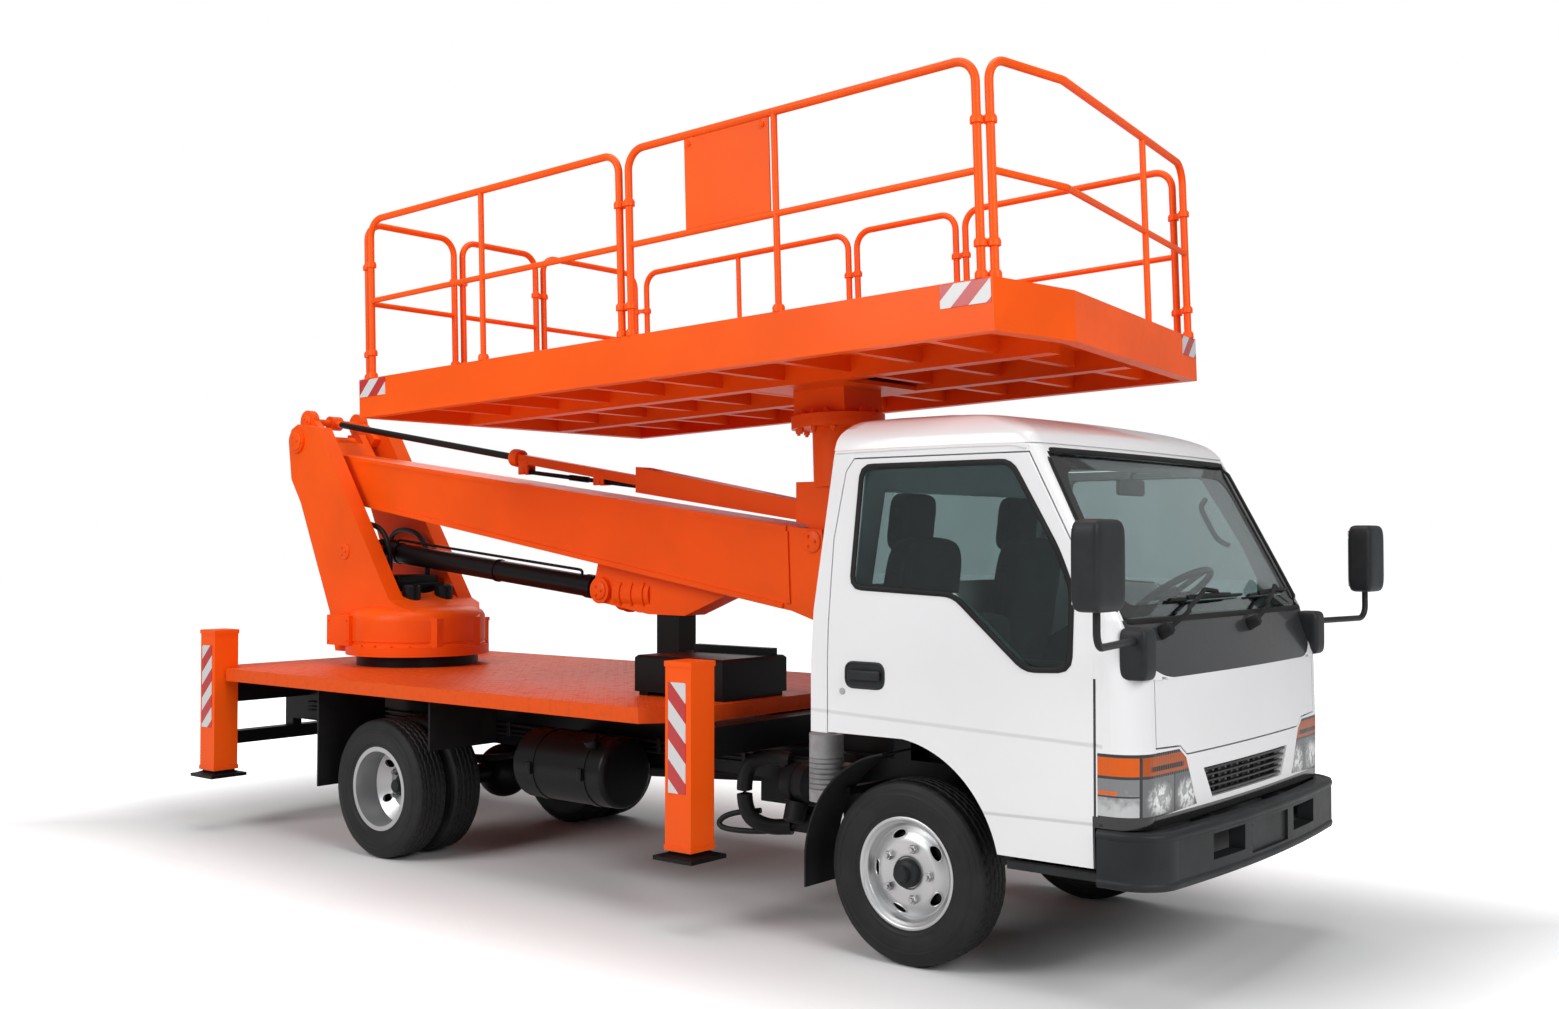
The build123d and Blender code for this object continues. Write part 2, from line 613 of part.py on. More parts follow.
def make_cab():
    outer = cab_body(0)
    inner = cab_body(CAB_WALL)
    shell = outer - inner
    low_front = block(-OUTSIDE, 2 * OUTSIDE, -OUTSIDE, OUTSIDE, 0, 662)
    under_side = block(-OUTSIDE, DOOR_FRONT, -OUTSIDE, OUTSIDE, 0, FLOOR_TOP - FLOOR_PLATE)

    door_face = door_outline()
    door_cut = right_side(door_face)
    hinge_low, hinge_high = DOOR_SILL + PANEL_GAP, HINGE_TOP - PANEL_GAP
    strip_x = DOOR_FRONT - 2 * PANEL_GAP
    hinge_edge = DOOR_FRONT - SEAT_CLEARANCE
    door_fill = right_side(offset(door_face, amount=-PANEL_GAP, kind=Kind.INTERSECTION))
    door_fill = door_fill + block(strip_x, hinge_edge, -OUTSIDE, -DOOR_INSIDE, hinge_low, hinge_high)
    window_cut = right_side(side_face(WINDOW_OUTLINE))
    door = (shell & door_fill) - window_cut
    glass_shell = cab_body(GLASS_INSET) - cab_body(GLASS_INSET + GLASS_THICKNESS)
    glass = glass_shell & window_cut
    NODES["door_right"] = door
    NODES["door_left"] = other_side(door)
    NODES["door_glass_right"] = glass
    NODES["door_glass_left"] = other_side(glass)

    screen_outline = [(-852, SCREEN_LOW), (852, SCREEN_LOW), (812, 2018), (-812, 2018)]
    screen_cut = front_prism(screen_outline, 250, 1400)
    windscreen = glass_shell & screen_cut
    rear_outline = [(-560, 1500), (560, 1500), (540, 1890), (-540, 1890)]
    rear_cut = front_prism(rear_outline, -600, -240)
    NODES["cab_glass"] = apart(windscreen, glass_shell & rear_cut)

    cowl_half = [(LID_HALF, LID_TOP), (822, 1215), (860, SCREEN_LOW)]
    cowl_cut = front_prism(cowl_half + [(-y, z) for y, z in reversed(cowl_half)], DOOR_FRONT, 1400)
    NODES["cowl_panel"] = shell & cowl_cut
    lid_half = [(549, 899), (600, 934), (LID_HALF, 940), (LID_HALF, LID_TOP)]
    lid_outline = lid_half + [(-y, z) for y, z in reversed(lid_half)]
    lid_cut = front_prism(lid_outline, 800, 1400)
    lid_face = make_face(Polyline(*[(800, y, z) for y, z in lid_outline], close=True))
    lid_fill = extrude(offset(lid_face, amount=-PANEL_GAP, kind=Kind.INTERSECTION), amount=600, dir=(1, 0, 0))
    lid_side = LID_HALF - PANEL_GAP
    lid_edge = LID_TOP - SEAT_CLEARANCE
    lid_fill = lid_fill + block(800, 1400, -lid_side, lid_side, LID_TOP - 2 * PANEL_GAP, lid_edge)
    NODES["front_lid"] = (outer - cab_body(LID_DEPTH)) & lid_fill

    lamp_shell = outer - cab_body(LAMP_DEPTH)
    lamp_outline = [(-OUTSIDE, 690), (-471, 712), (-556, 892), (-607, 927), (-OUTSIDE, 928)]
    lamp_cut = front_prism(lamp_outline, 880, 1400)
    NODES["headlamps"] = apart(both_sides(lamp_shell & lamp_cut))
    grille_cut = front_prism([(-343, 722), (343, 722), (416, 838), (-416, 838)], 900, 1400)
    NODES["grille"] = (cab_body(8) - cab_body(CAB_WALL)) & grille_cut

    body = shell - low_front - under_side - door_cut - other_side(door_cut) - screen_cut - rear_cut
    body = body - cowl_cut - lid_cut - lamp_cut - other_side(lamp_cut) - grille_cut
    NODES["cab_shell"] = body

    low = FLOOR_TOP - FLOOR_PLATE
    pan_in = FRAME_HALF + PAN_CLEARANCE
    floor = block(-400, PAN_REAR, -900, 900, low, FLOOR_TOP)
    floor = floor + block(PAN_REAR, PAN_FRONT, -pan_in - 20, pan_in + 20, low, FLOOR_TOP)
    pan = block(PAN_REAR, PAN_FRONT, -900, -pan_in, PAN_BOTTOM, FLOOR_TOP)
    pan = pan - block(PAN_REAR + 25, PAN_FRONT - 25, -840, -pan_in - 25, PAN_BOTTOM + 30, FLOOR_TOP)
    floor = floor + both_sides(pan)
    room = cab_body(CAB_WALL + PANEL_GAP)
    floor = floor & room
    back = -411 + CAB_WALL
    NODES["cab_floor"] = floor + block(back, back + 40, -800, 800, low, FLOOR_TOP)

    dash_profile = [(620, 1060), (820, 1010), (940, 1010), (940, 1400), (760, 1390), (660, 1330), (610, 1200)]
    NODES["dashboard"] = side_prism(dash_profile, -DASH_HALF, DASH_HALF) & cab_body(CAB_WALL + SEAT_CLEARANCE)


# Cab fittings
SEAT_Y = 440
SEAT_HALF = 235
MIRROR_Y = 1315
MIRROR_LOW = 1457
MIRROR_ARM = 1330
MIRROR_ROUND = 32
MIDDLE_SEAT_HALF = 160
STEERING_TILT = 35
VALANCE_X = 985


def make_fittings():
    seats = []
    for side in (-1, 1):
        y0 = side * SEAT_Y - SEAT_HALF
        y1 = side * SEAT_Y + SEAT_HALF
        cushion = side_prism([(-250, FLOOR_TOP), (180, FLOOR_TOP), (230, 1170), (-200, 1150)], y0, y1)
        back = side_prism([(-230, 1100), (-100, 1140), (-165, 1690), (-268, 1680)], y0 + 15, y1 - 15)
        head = side_prism([(-260, 1640), (-165, 1650), (-188, 1880), (-266, 1872)], y0 + 105, y1 - 105)
        seats.append(cushion + back + head)
    middle_back = [(-240, FLOOR_TOP), (-40, FLOOR_TOP), (-110, 1330), (-235, 1335)]
    seats.append(side_prism(middle_back, -MIDDLE_SEAT_HALF, MIDDLE_SEAT_HALF))
    NODES["seats"] = apart(seats)
    wheel_centre = (540, SEAT_Y, 1440)
    tilt = Pos(*wheel_centre) * Rot(0, -STEERING_TILT, 0)
    ring = tilt * Torus(200, 15)
    hub = tilt * Cylinder(45, 40)
    column = rod(wheel_centre, (665, SEAT_Y, 1262), 28)
    spokes = tilt * (Box(390, 34, 16) + Box(34, 390, 16))
    NODES["steering_wheel"] = ring + hub + column + spokes - NODES["dashboard"]

    head = block(1055, 1145, -MIRROR_Y - 95, -MIRROR_Y + 95, MIRROR_LOW, MIRROR_LOW + 290)
    head = fillet(head.edges(), MIRROR_ROUND)
    elbow = (1095, -MIRROR_Y, MIRROR_ARM)
    path = FilletPolyline((1010, -845, MIRROR_ARM), elbow, (1095, -MIRROR_Y, MIRROR_LOW + 20), radius=55)
    arm = sweep(Plane(path @ 0, z_dir=path % 0) * Circle(13), path=path)
    bracket = upright(1010, -840, 42, 1205, MIRROR_ARM + 30)
    mirror_right = arm + head + bracket - cab_body(0)
    NODES["mirrors"] = apart(both_sides(mirror_right.solids().sort_by(SortBy.VOLUME)[-1]))

    plan = cab_section((BUMPER_BOTTOM, 905, 760, 980, 1120, 150, BUMPER_FRONT), 0)
    hole = cab_section((BUMPER_BOTTOM, 905, 700, 980, 1120, 150, BUMPER_FRONT), BUMPER_WALL)
    height = BUMPER_TOP - BUMPER_BOTTOM
    bumper = extrude(plan, amount=height, dir=(0, 0, 1))
    bumper = bumper - extrude(hole, amount=height, dir=(0, 0, 1))
    bumper = bumper - block(700, 877, -OUTSIDE, OUTSIDE, 0, OUTSIDE)
    plate_x = BUMPER_FRONT - 14
    middle = (BUMPER_BOTTOM + BUMPER_TOP) / 2
    low, high = middle - PLATE_HALF_HEIGHT, middle + PLATE_HALF_HEIGHT
    bumper = bumper - block(plate_x, 1400, -PLATE_HALF_WIDTH, PLATE_HALF_WIDTH, low, high)
    for y in (-PLATE_HOLE_Y, PLATE_HOLE_Y):
        for z in (middle - PLATE_HOLE_Z, middle + PLATE_HOLE_Z):
            bumper = bumper - rod((plate_x - 200, y, z), (plate_x + 50, y, z), PLATE_HOLE_RADIUS)
    for y in (-375, 375):
        bumper = bumper - block(900, 1400, y - 130, y + 130, middle - 35, middle + 60)
    for side in (-1, 1):
        inner = FRAME_HALF - FLANGE_WIDTH
        bumper = bumper + block(FRAME_FRONT, 1110, side * inner, side * FRAME_HALF, 620, 650)
    bumper = bumper + block(VALANCE_X, VALANCE_X + 12, -760, 760, BUMPER_BOTTOM + 15, BUMPER_TOP + 25)
    NODES["bumper"] = bumper

    steps = block(485, 855, -860, -640, 460, 490) + block(640, 700, -640, -FRAME_HALF, 470, 490)
    steps = steps + block(640, 700, -FRAME_HALF - 20, -FRAME_HALF, 470, 640)
    NODES["steps"] = apart(both_sides(steps))


# Turret, boom, lift cylinder and levelling link
BOOM_TOP = ((-4815, 2233), (-1077, 1747))
BOOM_UNDER = ((-4553, 1906), (-1110, 1349))


def make_turret():
    base_z = DECK_TOP + SLEW_RING_HEIGHT + SEAT_CLEARANCE
    floor_z = base_z + TURNTABLE_PLATE
    ax, az = BOOM_PIVOT
    lx, lz = LINK_PIVOT
    px, pz = LIFT_BASE
    turret = upright(SLEW_X, 0, SLEW_RADIUS, base_z, floor_z)
    arm = [
        (-4540, base_z + 10),
        (-4600, 1250),
        (-4913, 1920),
        (-5018, 2073),
        (ax - 100, az),
        (ax - 70, az + 75),
        (ax, az + 105),
        (ax + 60, az + 95),
        (-4745, 2386),
        (-3949, 1245),
        (-3906, base_z + 10),
    ]
    lug = [
        (ax - 80, az - 20),
        (lx - TURRET_EYE_RADIUS * 0.9, lz + 10),
        (lx + TURRET_EYE_RADIUS * 0.9, lz + 10),
        (ax + 150, az + 30),
        (ax + 100, az - 20),
    ]
    for side in (-1, 1):
        turret = turret + side_prism(arm, *sorted((side * TURRET_ARM_IN, side * TURRET_ARM_OUT)))
        turret = turret + side_prism(lug, *sorted((side * LINK_LUG_IN, side * TURRET_ARM_IN)))
        turret = turret + cross_pin(ax, az, 75, side * TURRET_ARM_IN, side * (TURRET_ARM_OUT + 16))
        turret = turret + cross_pin(lx, lz, TURRET_EYE_RADIUS, side * LINK_LUG_IN, side * TURRET_ARM_IN)
    plan_half = [(-4500, TURRET_ARM_OUT), (-3940, TURRET_ARM_OUT), (-3755, 160)]
    plan = plan_half + [(x, -y) for x, y in reversed(plan_half)]
    slope = [(-4520, floor_z - 10), (-3700, floor_z - 10), (-3700, 1205), (-4230, 1425), (-4520, 1425)]
    bonnet = plan_prism(plan, floor_z - 10, 1500) & side_prism(slope, -OUTSIDE, OUTSIDE)
    turret = turret + (bonnet - upright(-4280, 0, 190, 1140, 1500))
    housing = block(-4490, -4270, -TURRET_ARM_OUT - 95, -TURRET_ARM_OUT, floor_z, 1240)
    port = cross_pin(-4070, 1145, 45, -TURRET_ARM_OUT - 22, -TURRET_ARM_OUT)
    port = port - cross_pin(-4070, 1145, 28, -TURRET_ARM_OUT - 30, -TURRET_ARM_OUT)
    turret = turret + housing + port
    span = TURRET_ARM_IN + 10
    turret = turret + cross_pin(ax, az, PIVOT_RADIUS, -span, span)
    turret = turret + cross_pin(lx, lz, LINK_PIN_RADIUS, -span, span)
    turret = turret + cross_pin(px, pz, PIVOT_RADIUS, -span, span)
    NODES["turret"] = turret


def make_boom():
    ax, az = BOOM_PIVOT
    bx, bz = BOOM_TIP
    (tx0, tz0), (tx1, tz1) = BOOM_TOP
    (ux0, uz0), (ux1, uz1) = BOOM_UNDER
    boom = side_prism([(tx0, tz0), (tx1, tz1), (ux1, uz1), (ux0, uz0)], -BOOM_HALF, BOOM_HALF)
    lug = [
        (ax - 70, az - 40),
        (ax - 60, az + 60),
        (ax + 60, az + 60),
        (tx0 + 60, tz0 - 30),
        (ux0, uz0),
        (ux0 - 120, uz0 + 60),
    ]
    slot = BOOM_HALF - HEEL_LUG
    heel = side_prism(lug, -BOOM_HALF, BOOM_HALF) - block(ax - 200, ax + 110, -slot, slot, az - 90, az + 200)
    head = [(tx1 - 20, tz1), (bx + 60, bz + 55), (bx + 75, bz - 40), (bx + 40, 1300), (ux1, uz1)]
    slot = BOOM_HALF - TIP_LUG
    tip = side_prism(head, -BOOM_HALF, BOOM_HALF) - block(bx - 75, bx + 200, -slot, slot, bz - 100, 2000)
    boom = boom + heel + tip
    boom = boom - cross_pin(ax, az, PIVOT_RADIUS + RUNNING_CLEARANCE, -BOOM_HALF - 10, BOOM_HALF + 10)
    boom = boom + cross_pin(bx, bz, PIVOT_RADIUS, -BOOM_HALF, BOOM_HALF)
    NODES["boom"] = boom

    qx, qz = LIFT_EYE
    pad_rear, pad_front = REST_X - 130, REST_X + 130
    nose = (-1560, boom_under(-1560))
    plate = [
        (qx - 66, qz + 20),
        (qx - 30, qz - 62),
        (pad_rear, REST_TOP),
        (pad_front, REST_TOP),
        nose,
        (qx - 30, boom_under(qx - 30)),
    ]
    cheek_in = EYE_HALF + ARM_GAP
    cheek = side_prism(plate, cheek_in, cheek_in + CHEEK_PLATE)
    cheek = cheek + cross_pin(qx, qz, 70, cheek_in, cheek_in + CHEEK_PLATE + 24)
    web = [(pad_rear, REST_TOP), (pad_front, REST_TOP), nose, (pad_rear, boom_under(pad_rear))]
    bracket = cheek + other_side(cheek) + side_prism(web, -cheek_in, cheek_in)
    housing_z = REST_TOP + HOUSING_RADIUS + HOUSING_RIB + 2
    housing_rear = qx + 88
    bracket = bracket + rod((housing_rear, 0, housing_z), (pad_rear + 10, 0, housing_z), HOUSING_RADIUS)
    for index in range(HOUSING_RIBS):
        x = housing_rear + (index + 0.6) * (pad_rear - housing_rear) / HOUSING_RIBS
        bracket = bracket + rod((x - 8, 0, housing_z), (x + 8, 0, housing_z), HOUSING_RADIUS + HOUSING_RIB)
    NODES["lift_bracket"] = bracket


def boom_under(x):
    """Height of the boom's lower edge."""
    (x0, z0), (x1, z1) = BOOM_UNDER
    return z0 + (z1 - z0) * (x - x0) / (x1 - x0)


def make_lift_cylinder():
    px, pz = LIFT_BASE
    qx, qz = LIFT_EYE
    length = math.hypot(qx - px, qz - pz)
    along = ((qx - px) / length, (qz - pz) / length)

    def place(distance):
        return (px + along[0] * distance, 0, pz + along[1] * distance)

    barrel = rod(place(30), place(length - 150), BARREL_RADIUS) + cross_pin(px, pz, 75, -EYE_HALF, EYE_HALF)
    barrel = barrel - cross_pin(px, pz, PIVOT_RADIUS + RUNNING_CLEARANCE, -100, 100)
    barrel = barrel - rod(place(120), place(length), ROD_RADIUS + SEAT_CLEARANCE)
    NODES["lift_barrel"] = barrel
    piston = rod(place(130), place(length - 20), ROD_RADIUS) + cross_pin(qx, qz, 62, -EYE_HALF, EYE_HALF)
    NODES["lift_rod"] = piston - cross_pin(qx, qz, PIVOT_RADIUS, -100, 100)


def make_levelling_link():
    lx, lz = LINK_PIVOT
    dx, dz = BOOM_TIP[0] - BOOM_PIVOT[0], BOOM_TIP[1] - BOOM_PIVOT[1]

    def place(share):
        return (lx + dx * share, 0, lz + dz * share)

    link = rod(place(0.0), place(0.47), 20)
    link = link + cross_pin(lx, lz, 45, -40, 40)
    # Columns: start and end as shares of the length, depth below and above at each end, half width
    for begin, finish, low0, high0, low1, high1, half in (
        (0.45, 0.72, 25, 25, 25, 25, 30),
        (0.70, 1.00, 60, 75, 40, 50, LINK_HALF),
    ):
        start, end = place(begin), place(finish)
        outline = [
            (start[0], start[2] - low0),
            (end[0], end[2] - low1),
            (end[0], end[2] + high1),
            (start[0], start[2] + high0),
        ]
        link = link + side_prism(outline, -half, half)
    tip = place(1.0)
    link = link + cross_pin(tip[0], tip[2], 45, -LINK_HALF, LINK_HALF)
    link = link - cross_pin(lx, lz, LINK_PIN_RADIUS + RUNNING_CLEARANCE, -100, 100)
    link = link - cross_pin(tip[0], tip[2], LINK_PIN_RADIUS + RUNNING_CLEARANCE, -100, 100)
    NODES["levelling_link"] = link


def trimmed(solid):
    """Tips what the levelling linkage carries nose up by the platform's trim."""
    pivot = Pos(PEDESTAL_X, 0, SWING_Z)
    return pivot * Rot(0, -PLATFORM_TRIM, 0) * Pos(-PEDESTAL_X, 0, -SWING_Z) * solid


def make_platform():
    bx, bz = BOOM_TIP
    lx, lz = bx + LINK_OFFSET[0], bz + LINK_OFFSET[1]
    cheek_in = LINK_HALF + ARM_GAP
    cheek_out = BOOM_HALF - TIP_LUG - ARM_GAP
    cheek_outline = [
        (bx - 55, bz - 50),
        (bx + 60, bz - 50),
        (bx + 160, 1960),
        (lx - 70, 1960),
        (lx - 70, bz + 95),
        (bx - 55, bz + 75),
    ]
    cheek = side_prism(cheek_outline, cheek_in, cheek_out)
    bracket = cheek + other_side(cheek)
    bracket = bracket + block(lx - 70, bx + 160, -cheek_out, cheek_out, 1930, 1965)
    bracket = bracket + cross_pin(lx, lz, LINK_PIN_RADIUS, -cheek_in, cheek_in)
    neck = upright(PEDESTAL_X, 0, PEDESTAL_RADIUS, 1940, SWING_Z)
    neck = neck + upright(PEDESTAL_X, 0, SWING_FLANGE_RADIUS, SWING_Z - SWING_FLANGE, SWING_Z)
    bracket = bracket + trimmed(neck)
    bracket = bracket - cross_pin(bx, bz, PIVOT_RADIUS + RUNNING_CLEARANCE, -200, 200)
    NODES["platform_bracket"] = bracket

    swing = SWING_Z + SEAT_CLEARANCE
    spigot = upright(PEDESTAL_X, 0, SWING_FLANGE_RADIUS, swing, swing + SWING_FLANGE)
    spigot = spigot + block(PEDESTAL_X - 150, PEDESTAL_X + 150, -150, 150, swing, PLATFORM_BOTTOM)

    outline = [
        (PLATFORM_REAR, -PLATFORM_HALF),
        (PLATFORM_FRONT, -PLATFORM_HALF),
        PLATFORM_NOSE,
        (PLATFORM_FAR_FRONT, PLATFORM_HALF),
        (PLATFORM_REAR, PLATFORM_HALF),
    ]
    top = PLATFORM_BOTTOM + PLATFORM_FRAME
    floor_plate = 6
    face = make_face(Polyline(*[(x, y, PLATFORM_BOTTOM) for x, y in outline], close=True))
    well = offset(face, amount=-60, kind=Kind.INTERSECTION)
    frame = plan_prism(outline, PLATFORM_BOTTOM, top)
    frame = frame - extrude(well, amount=PLATFORM_FRAME - floor_plate, dir=(0, 0, 1))
    low = PLATFORM_BOTTOM
    for y in (-330, 330):
        frame = frame + block(PLATFORM_REAR + 30, PLATFORM_FAR_FRONT, y - 40, y + 40, low, top - 1)
    for index in range(9):
        x = PLATFORM_REAR + 380 + index * 380
        reach = PLATFORM_HALF - 30
        frame = frame + block(x - 20, x + 20, -reach, reach, low + 25, top - 1)
    frame = frame + block(PEDESTAL_X - 260, PEDESTAL_X + 260, -330, 330, low, low + 20)
    NODES["platform_frame"] = trimmed(frame + spigot)

    upper = Pos(0, 0, PLATFORM_FRAME) * face
    inside = offset(upper, amount=-TOE_WIDTH, kind=Kind.INTERSECTION)
    boards = extrude(upper, amount=TOE_BOARD, dir=(0, 0, 1))
    boards = boards - extrude(inside, amount=TOE_BOARD, dir=(0, 0, 1))
    NODES["toe_boards"] = trimmed(boards)

    line = PLATFORM_HALF - TOE_WIDTH / 2
    rear = PLATFORM_REAR + TOE_WIDTH / 2
    nose = (PLATFORM_NOSE[0] - TOE_WIDTH / 2, PLATFORM_NOSE[1])
    # Columns: node, plan points of the hoop, places of the inner posts as (x, y)
    panels = (
        ("rails_right", [(rear + 70, -line), (-1360, -line)], [(-2302, -line)]),
        ("rails_right", [(-1300, -line), (500, -line)], [(-463, -line)]),
        ("rails_left", [(rear + 70, line), (-1610, line)], [(-2422, line)]),
        ("rails_left", [(-1550, line), (-900, line)], []),
        ("rails_left", [(-840, line), (330, line)], []),
        ("rails_rear", [(rear, -line + 30), (rear, -430)], []),
        ("rails_rear", [(rear, -370), (rear, 170)], []),
        ("rails_rear", [(rear, 230), (rear, line - 30)], []),
        ("rails_front", [(540, -line + 30), nose, (400, line - 40)], [(480, 400)]),
    )
    foot = top + TOE_BOARD
    rails = {}
    for name, plan, posts in panels:
        high = PLATFORM_BOTTOM + RAIL_TOP
        mid = PLATFORM_BOTTOM + RAIL_MID
        points = [(*plan[0], foot), *[(x, y, high) for x, y in plan], (*plan[-1], foot)]
        path = FilletPolyline(*points, radius=RAIL_BEND)
        hoop = sweep(Plane(path @ 0, z_dir=path % 0) * Circle(RAIL_RADIUS), path=path)
        for start, end in zip(plan, plan[1:]):
            hoop = hoop + rod((*start, mid), (*end, mid), MID_RAIL_RADIUS)
        for x, y in posts:
            hoop = hoop + upright(x, y, MID_RAIL_RADIUS, foot, high)
        rails.setdefault(name, []).append(hoop)
    low = PLATFORM_BOTTOM + RAIL_MID + MID_RAIL_RADIUS + SEAT_CLEARANCE
    high = PLATFORM_BOTTOM + RAIL_TOP - RAIL_RADIUS - SEAT_CLEARANCE
    rails["rails_right"].append(block(-960, -490, -line - 3, -line + 3, low, high))
    for name, hoops in rails.items():
        NODES[name] = trimmed(apart(hoops))


make_wheels()
make_axles()
make_chassis()
make_deck()
make_cab()
make_fittings()
make_turret()
make_boom()
make_lift_cylinder()
make_levelling_link()
make_platform()

os.makedirs("parts", exist_ok=True)
for name, shape in NODES.items():
    export_step(Pos(LENGTH_SHIFT, 0, 0) * shape, os.path.join("parts", name + ".step"))
print(len(NODES), "nodes, length shift", LENGTH_SHIFT)
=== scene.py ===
# %% [markdown]
# # A truck with a work platform
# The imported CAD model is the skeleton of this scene. Every rigid part already has its true place in
# it, so the lesson is about looks: finishes for the painted steel, rubber and glass, and the small
# pieces that are not worth a CAD solid, such as tread, nuts, seals and wipers. All lengths are metres.

import json
import math

import bmesh
import bpy
import numpy as np
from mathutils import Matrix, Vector
from mathutils.bvhtree import BVHTree


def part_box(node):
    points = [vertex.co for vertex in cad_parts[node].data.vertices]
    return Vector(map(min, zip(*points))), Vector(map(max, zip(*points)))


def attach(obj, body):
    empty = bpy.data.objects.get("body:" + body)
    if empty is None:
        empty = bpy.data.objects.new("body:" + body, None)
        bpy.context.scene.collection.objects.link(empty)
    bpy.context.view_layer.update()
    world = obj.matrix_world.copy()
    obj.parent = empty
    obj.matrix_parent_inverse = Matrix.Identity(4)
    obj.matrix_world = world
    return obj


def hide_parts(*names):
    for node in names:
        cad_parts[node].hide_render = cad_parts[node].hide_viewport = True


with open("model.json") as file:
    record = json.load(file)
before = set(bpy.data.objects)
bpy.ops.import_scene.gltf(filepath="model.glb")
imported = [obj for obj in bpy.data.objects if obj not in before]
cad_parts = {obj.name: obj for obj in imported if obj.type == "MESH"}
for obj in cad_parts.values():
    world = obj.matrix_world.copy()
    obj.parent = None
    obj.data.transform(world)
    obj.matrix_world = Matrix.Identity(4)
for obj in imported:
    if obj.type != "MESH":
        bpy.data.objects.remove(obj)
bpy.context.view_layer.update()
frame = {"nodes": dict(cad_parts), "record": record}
nodes = frame["nodes"]


def middle(node):
    """Centre of a CAD node's box."""
    low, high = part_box(node)
    return (np.array(low) + np.array(high)) / 2


AXLE_X = middle("front_axle")[0]
SIDES = (("right", -1), ("left", 1))
print("nodes:", len(nodes), "front axle at x =", round(AXLE_X, 3))


# %% [markdown]
# ## Camera
# A photograph fixes seven numbers of its camera: where it stands, where it looks, and how wide it
# sees. Here the eye is a little above the bonnet line, off the right front corner, and looks up by
# about a degree, so upright edges stay almost upright.

# %% Camera
EYE_FROM_AXLE = (3.45, -5.861, 1.682)
AZIMUTH = 39.064
LOOK_UP = 1.368
FOCAL_LENGTH = 35.367


def at(x, y, z):
    """Point measured from the middle of the front axle line on the ground."""
    return np.array([x + AXLE_X, y, z])


lens = bpy.data.cameras.new("photo_camera")
lens.sensor_width = 36.0
lens.lens = FOCAL_LENGTH
lens.clip_end = 200.0
camera = bpy.data.objects.new("photo_camera", lens)
camera.location = Vector(at(*EYE_FROM_AXLE))
camera.rotation_euler = (math.radians(90 + LOOK_UP), 0, math.radians(AZIMUTH))
bpy.context.collection.objects.link(camera)
bpy.context.scene.camera = camera
bpy.context.scene.view_settings.view_transform = "Standard"
print("camera at", [round(v, 3) for v in camera.location])


# %% [markdown]
# ## Meshes from whole arrays
# A surface here is a grid of points P(u, v), worked out by numpy in one expression. Joining each grid
# cell into a quad needs only index arithmetic, so no loop runs over vertices. Primitives and modifiers
# could make the same forms, but a formula keeps every size in view and gives the same mesh on each run.

# %% Grids into meshes
def grid_quads(rows, columns, wrap_rows, wrap_columns):
    """Corner indices of every cell of a grid, with the last row or column joined to the first."""
    r = np.arange(rows if wrap_rows else rows - 1)
    c = np.arange(columns if wrap_columns else columns - 1)
    r, c = np.meshgrid(r, c, indexing="ij")
    next_r, next_c = (r + 1) % rows, (c + 1) % columns
    corners = (r * columns + c, next_r * columns + c, next_r * columns + next_c, r * columns + next_c)
    return np.stack(corners, -1).reshape(-1, 4)


def surface(points, wrap_rows=False, wrap_columns=False, caps=False):
    """One grid as (points, faces); caps closes the first and the last row with a face each."""
    rows, columns = points.shape[:2]
    faces = grid_quads(rows, columns, wrap_rows, wrap_columns).tolist()
    if caps:
        faces.append(list(range(columns)))
        faces.append(list(range((rows - 1) * columns, rows * columns)))
    return points.reshape(-1, 3), faces


def piece(name, surfaces, finish, body, smooth=40.0):
    """Joins surfaces into one mesh object, makes its faces point outwards and lets it ride on a body."""
    points, faces, start = [], [], 0
    for p, f in surfaces:
        points.append(p)
        faces.extend([[i + start for i in face] for face in f])
        start += len(p)
    mesh = bpy.data.meshes.new(name)
    mesh.from_pydata(np.concatenate(points).tolist(), [], faces)
    work = bmesh.new()
    work.from_mesh(mesh)
    bmesh.ops.remove_doubles(work, verts=work.verts, dist=1e-6)
    bmesh.ops.recalc_face_normals(work, faces=work.faces)
    work.to_mesh(mesh)
    work.free()
    mesh.polygons.foreach_set("use_smooth", np.ones(len(mesh.polygons), bool))
    mesh.set_sharp_from_angle(angle=math.radians(smooth))
    mesh.materials.append(finish)
    made = bpy.data.objects.new(name, mesh)
    bpy.context.collection.objects.link(made)
    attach(made, body)
    return made


print("grids become meshes")


# %% [markdown]
# Three formulas cover almost every small piece: a profile turned round an axis, a profile carried along
# a path, and a sphere whose eight octants are pushed apart into a block with rounded edges.

# %% Turned, carried and rounded forms
def basis(axis):
    """Three unit vectors: the axis and two more square to it."""
    w = np.array(axis, float) / np.linalg.norm(axis)
    helper = np.array([0.0, 0.0, 1.0]) if abs(w[2]) < 0.9 else np.array([1.0, 0.0, 0.0])
    u = np.cross(helper, w)
    u = u / np.linalg.norm(u)
    return w, u, np.cross(w, u)


def turned(profile, origin, axis, sides=24, caps=True):
    """Profile of (radius, distance along the axis) turned round the axis through origin."""
    profile = np.array(profile, float)
    w, u, v = basis(axis)
    a = np.linspace(0, 2 * np.pi, sides, endpoint=False)
    ring = np.cos(a)[:, None] * u + np.sin(a)[:, None] * v
    points = np.array(origin) + profile[:, :1, None] * ring + profile[:, 1:, None] * w
    return surface(points, wrap_columns=True, caps=caps)


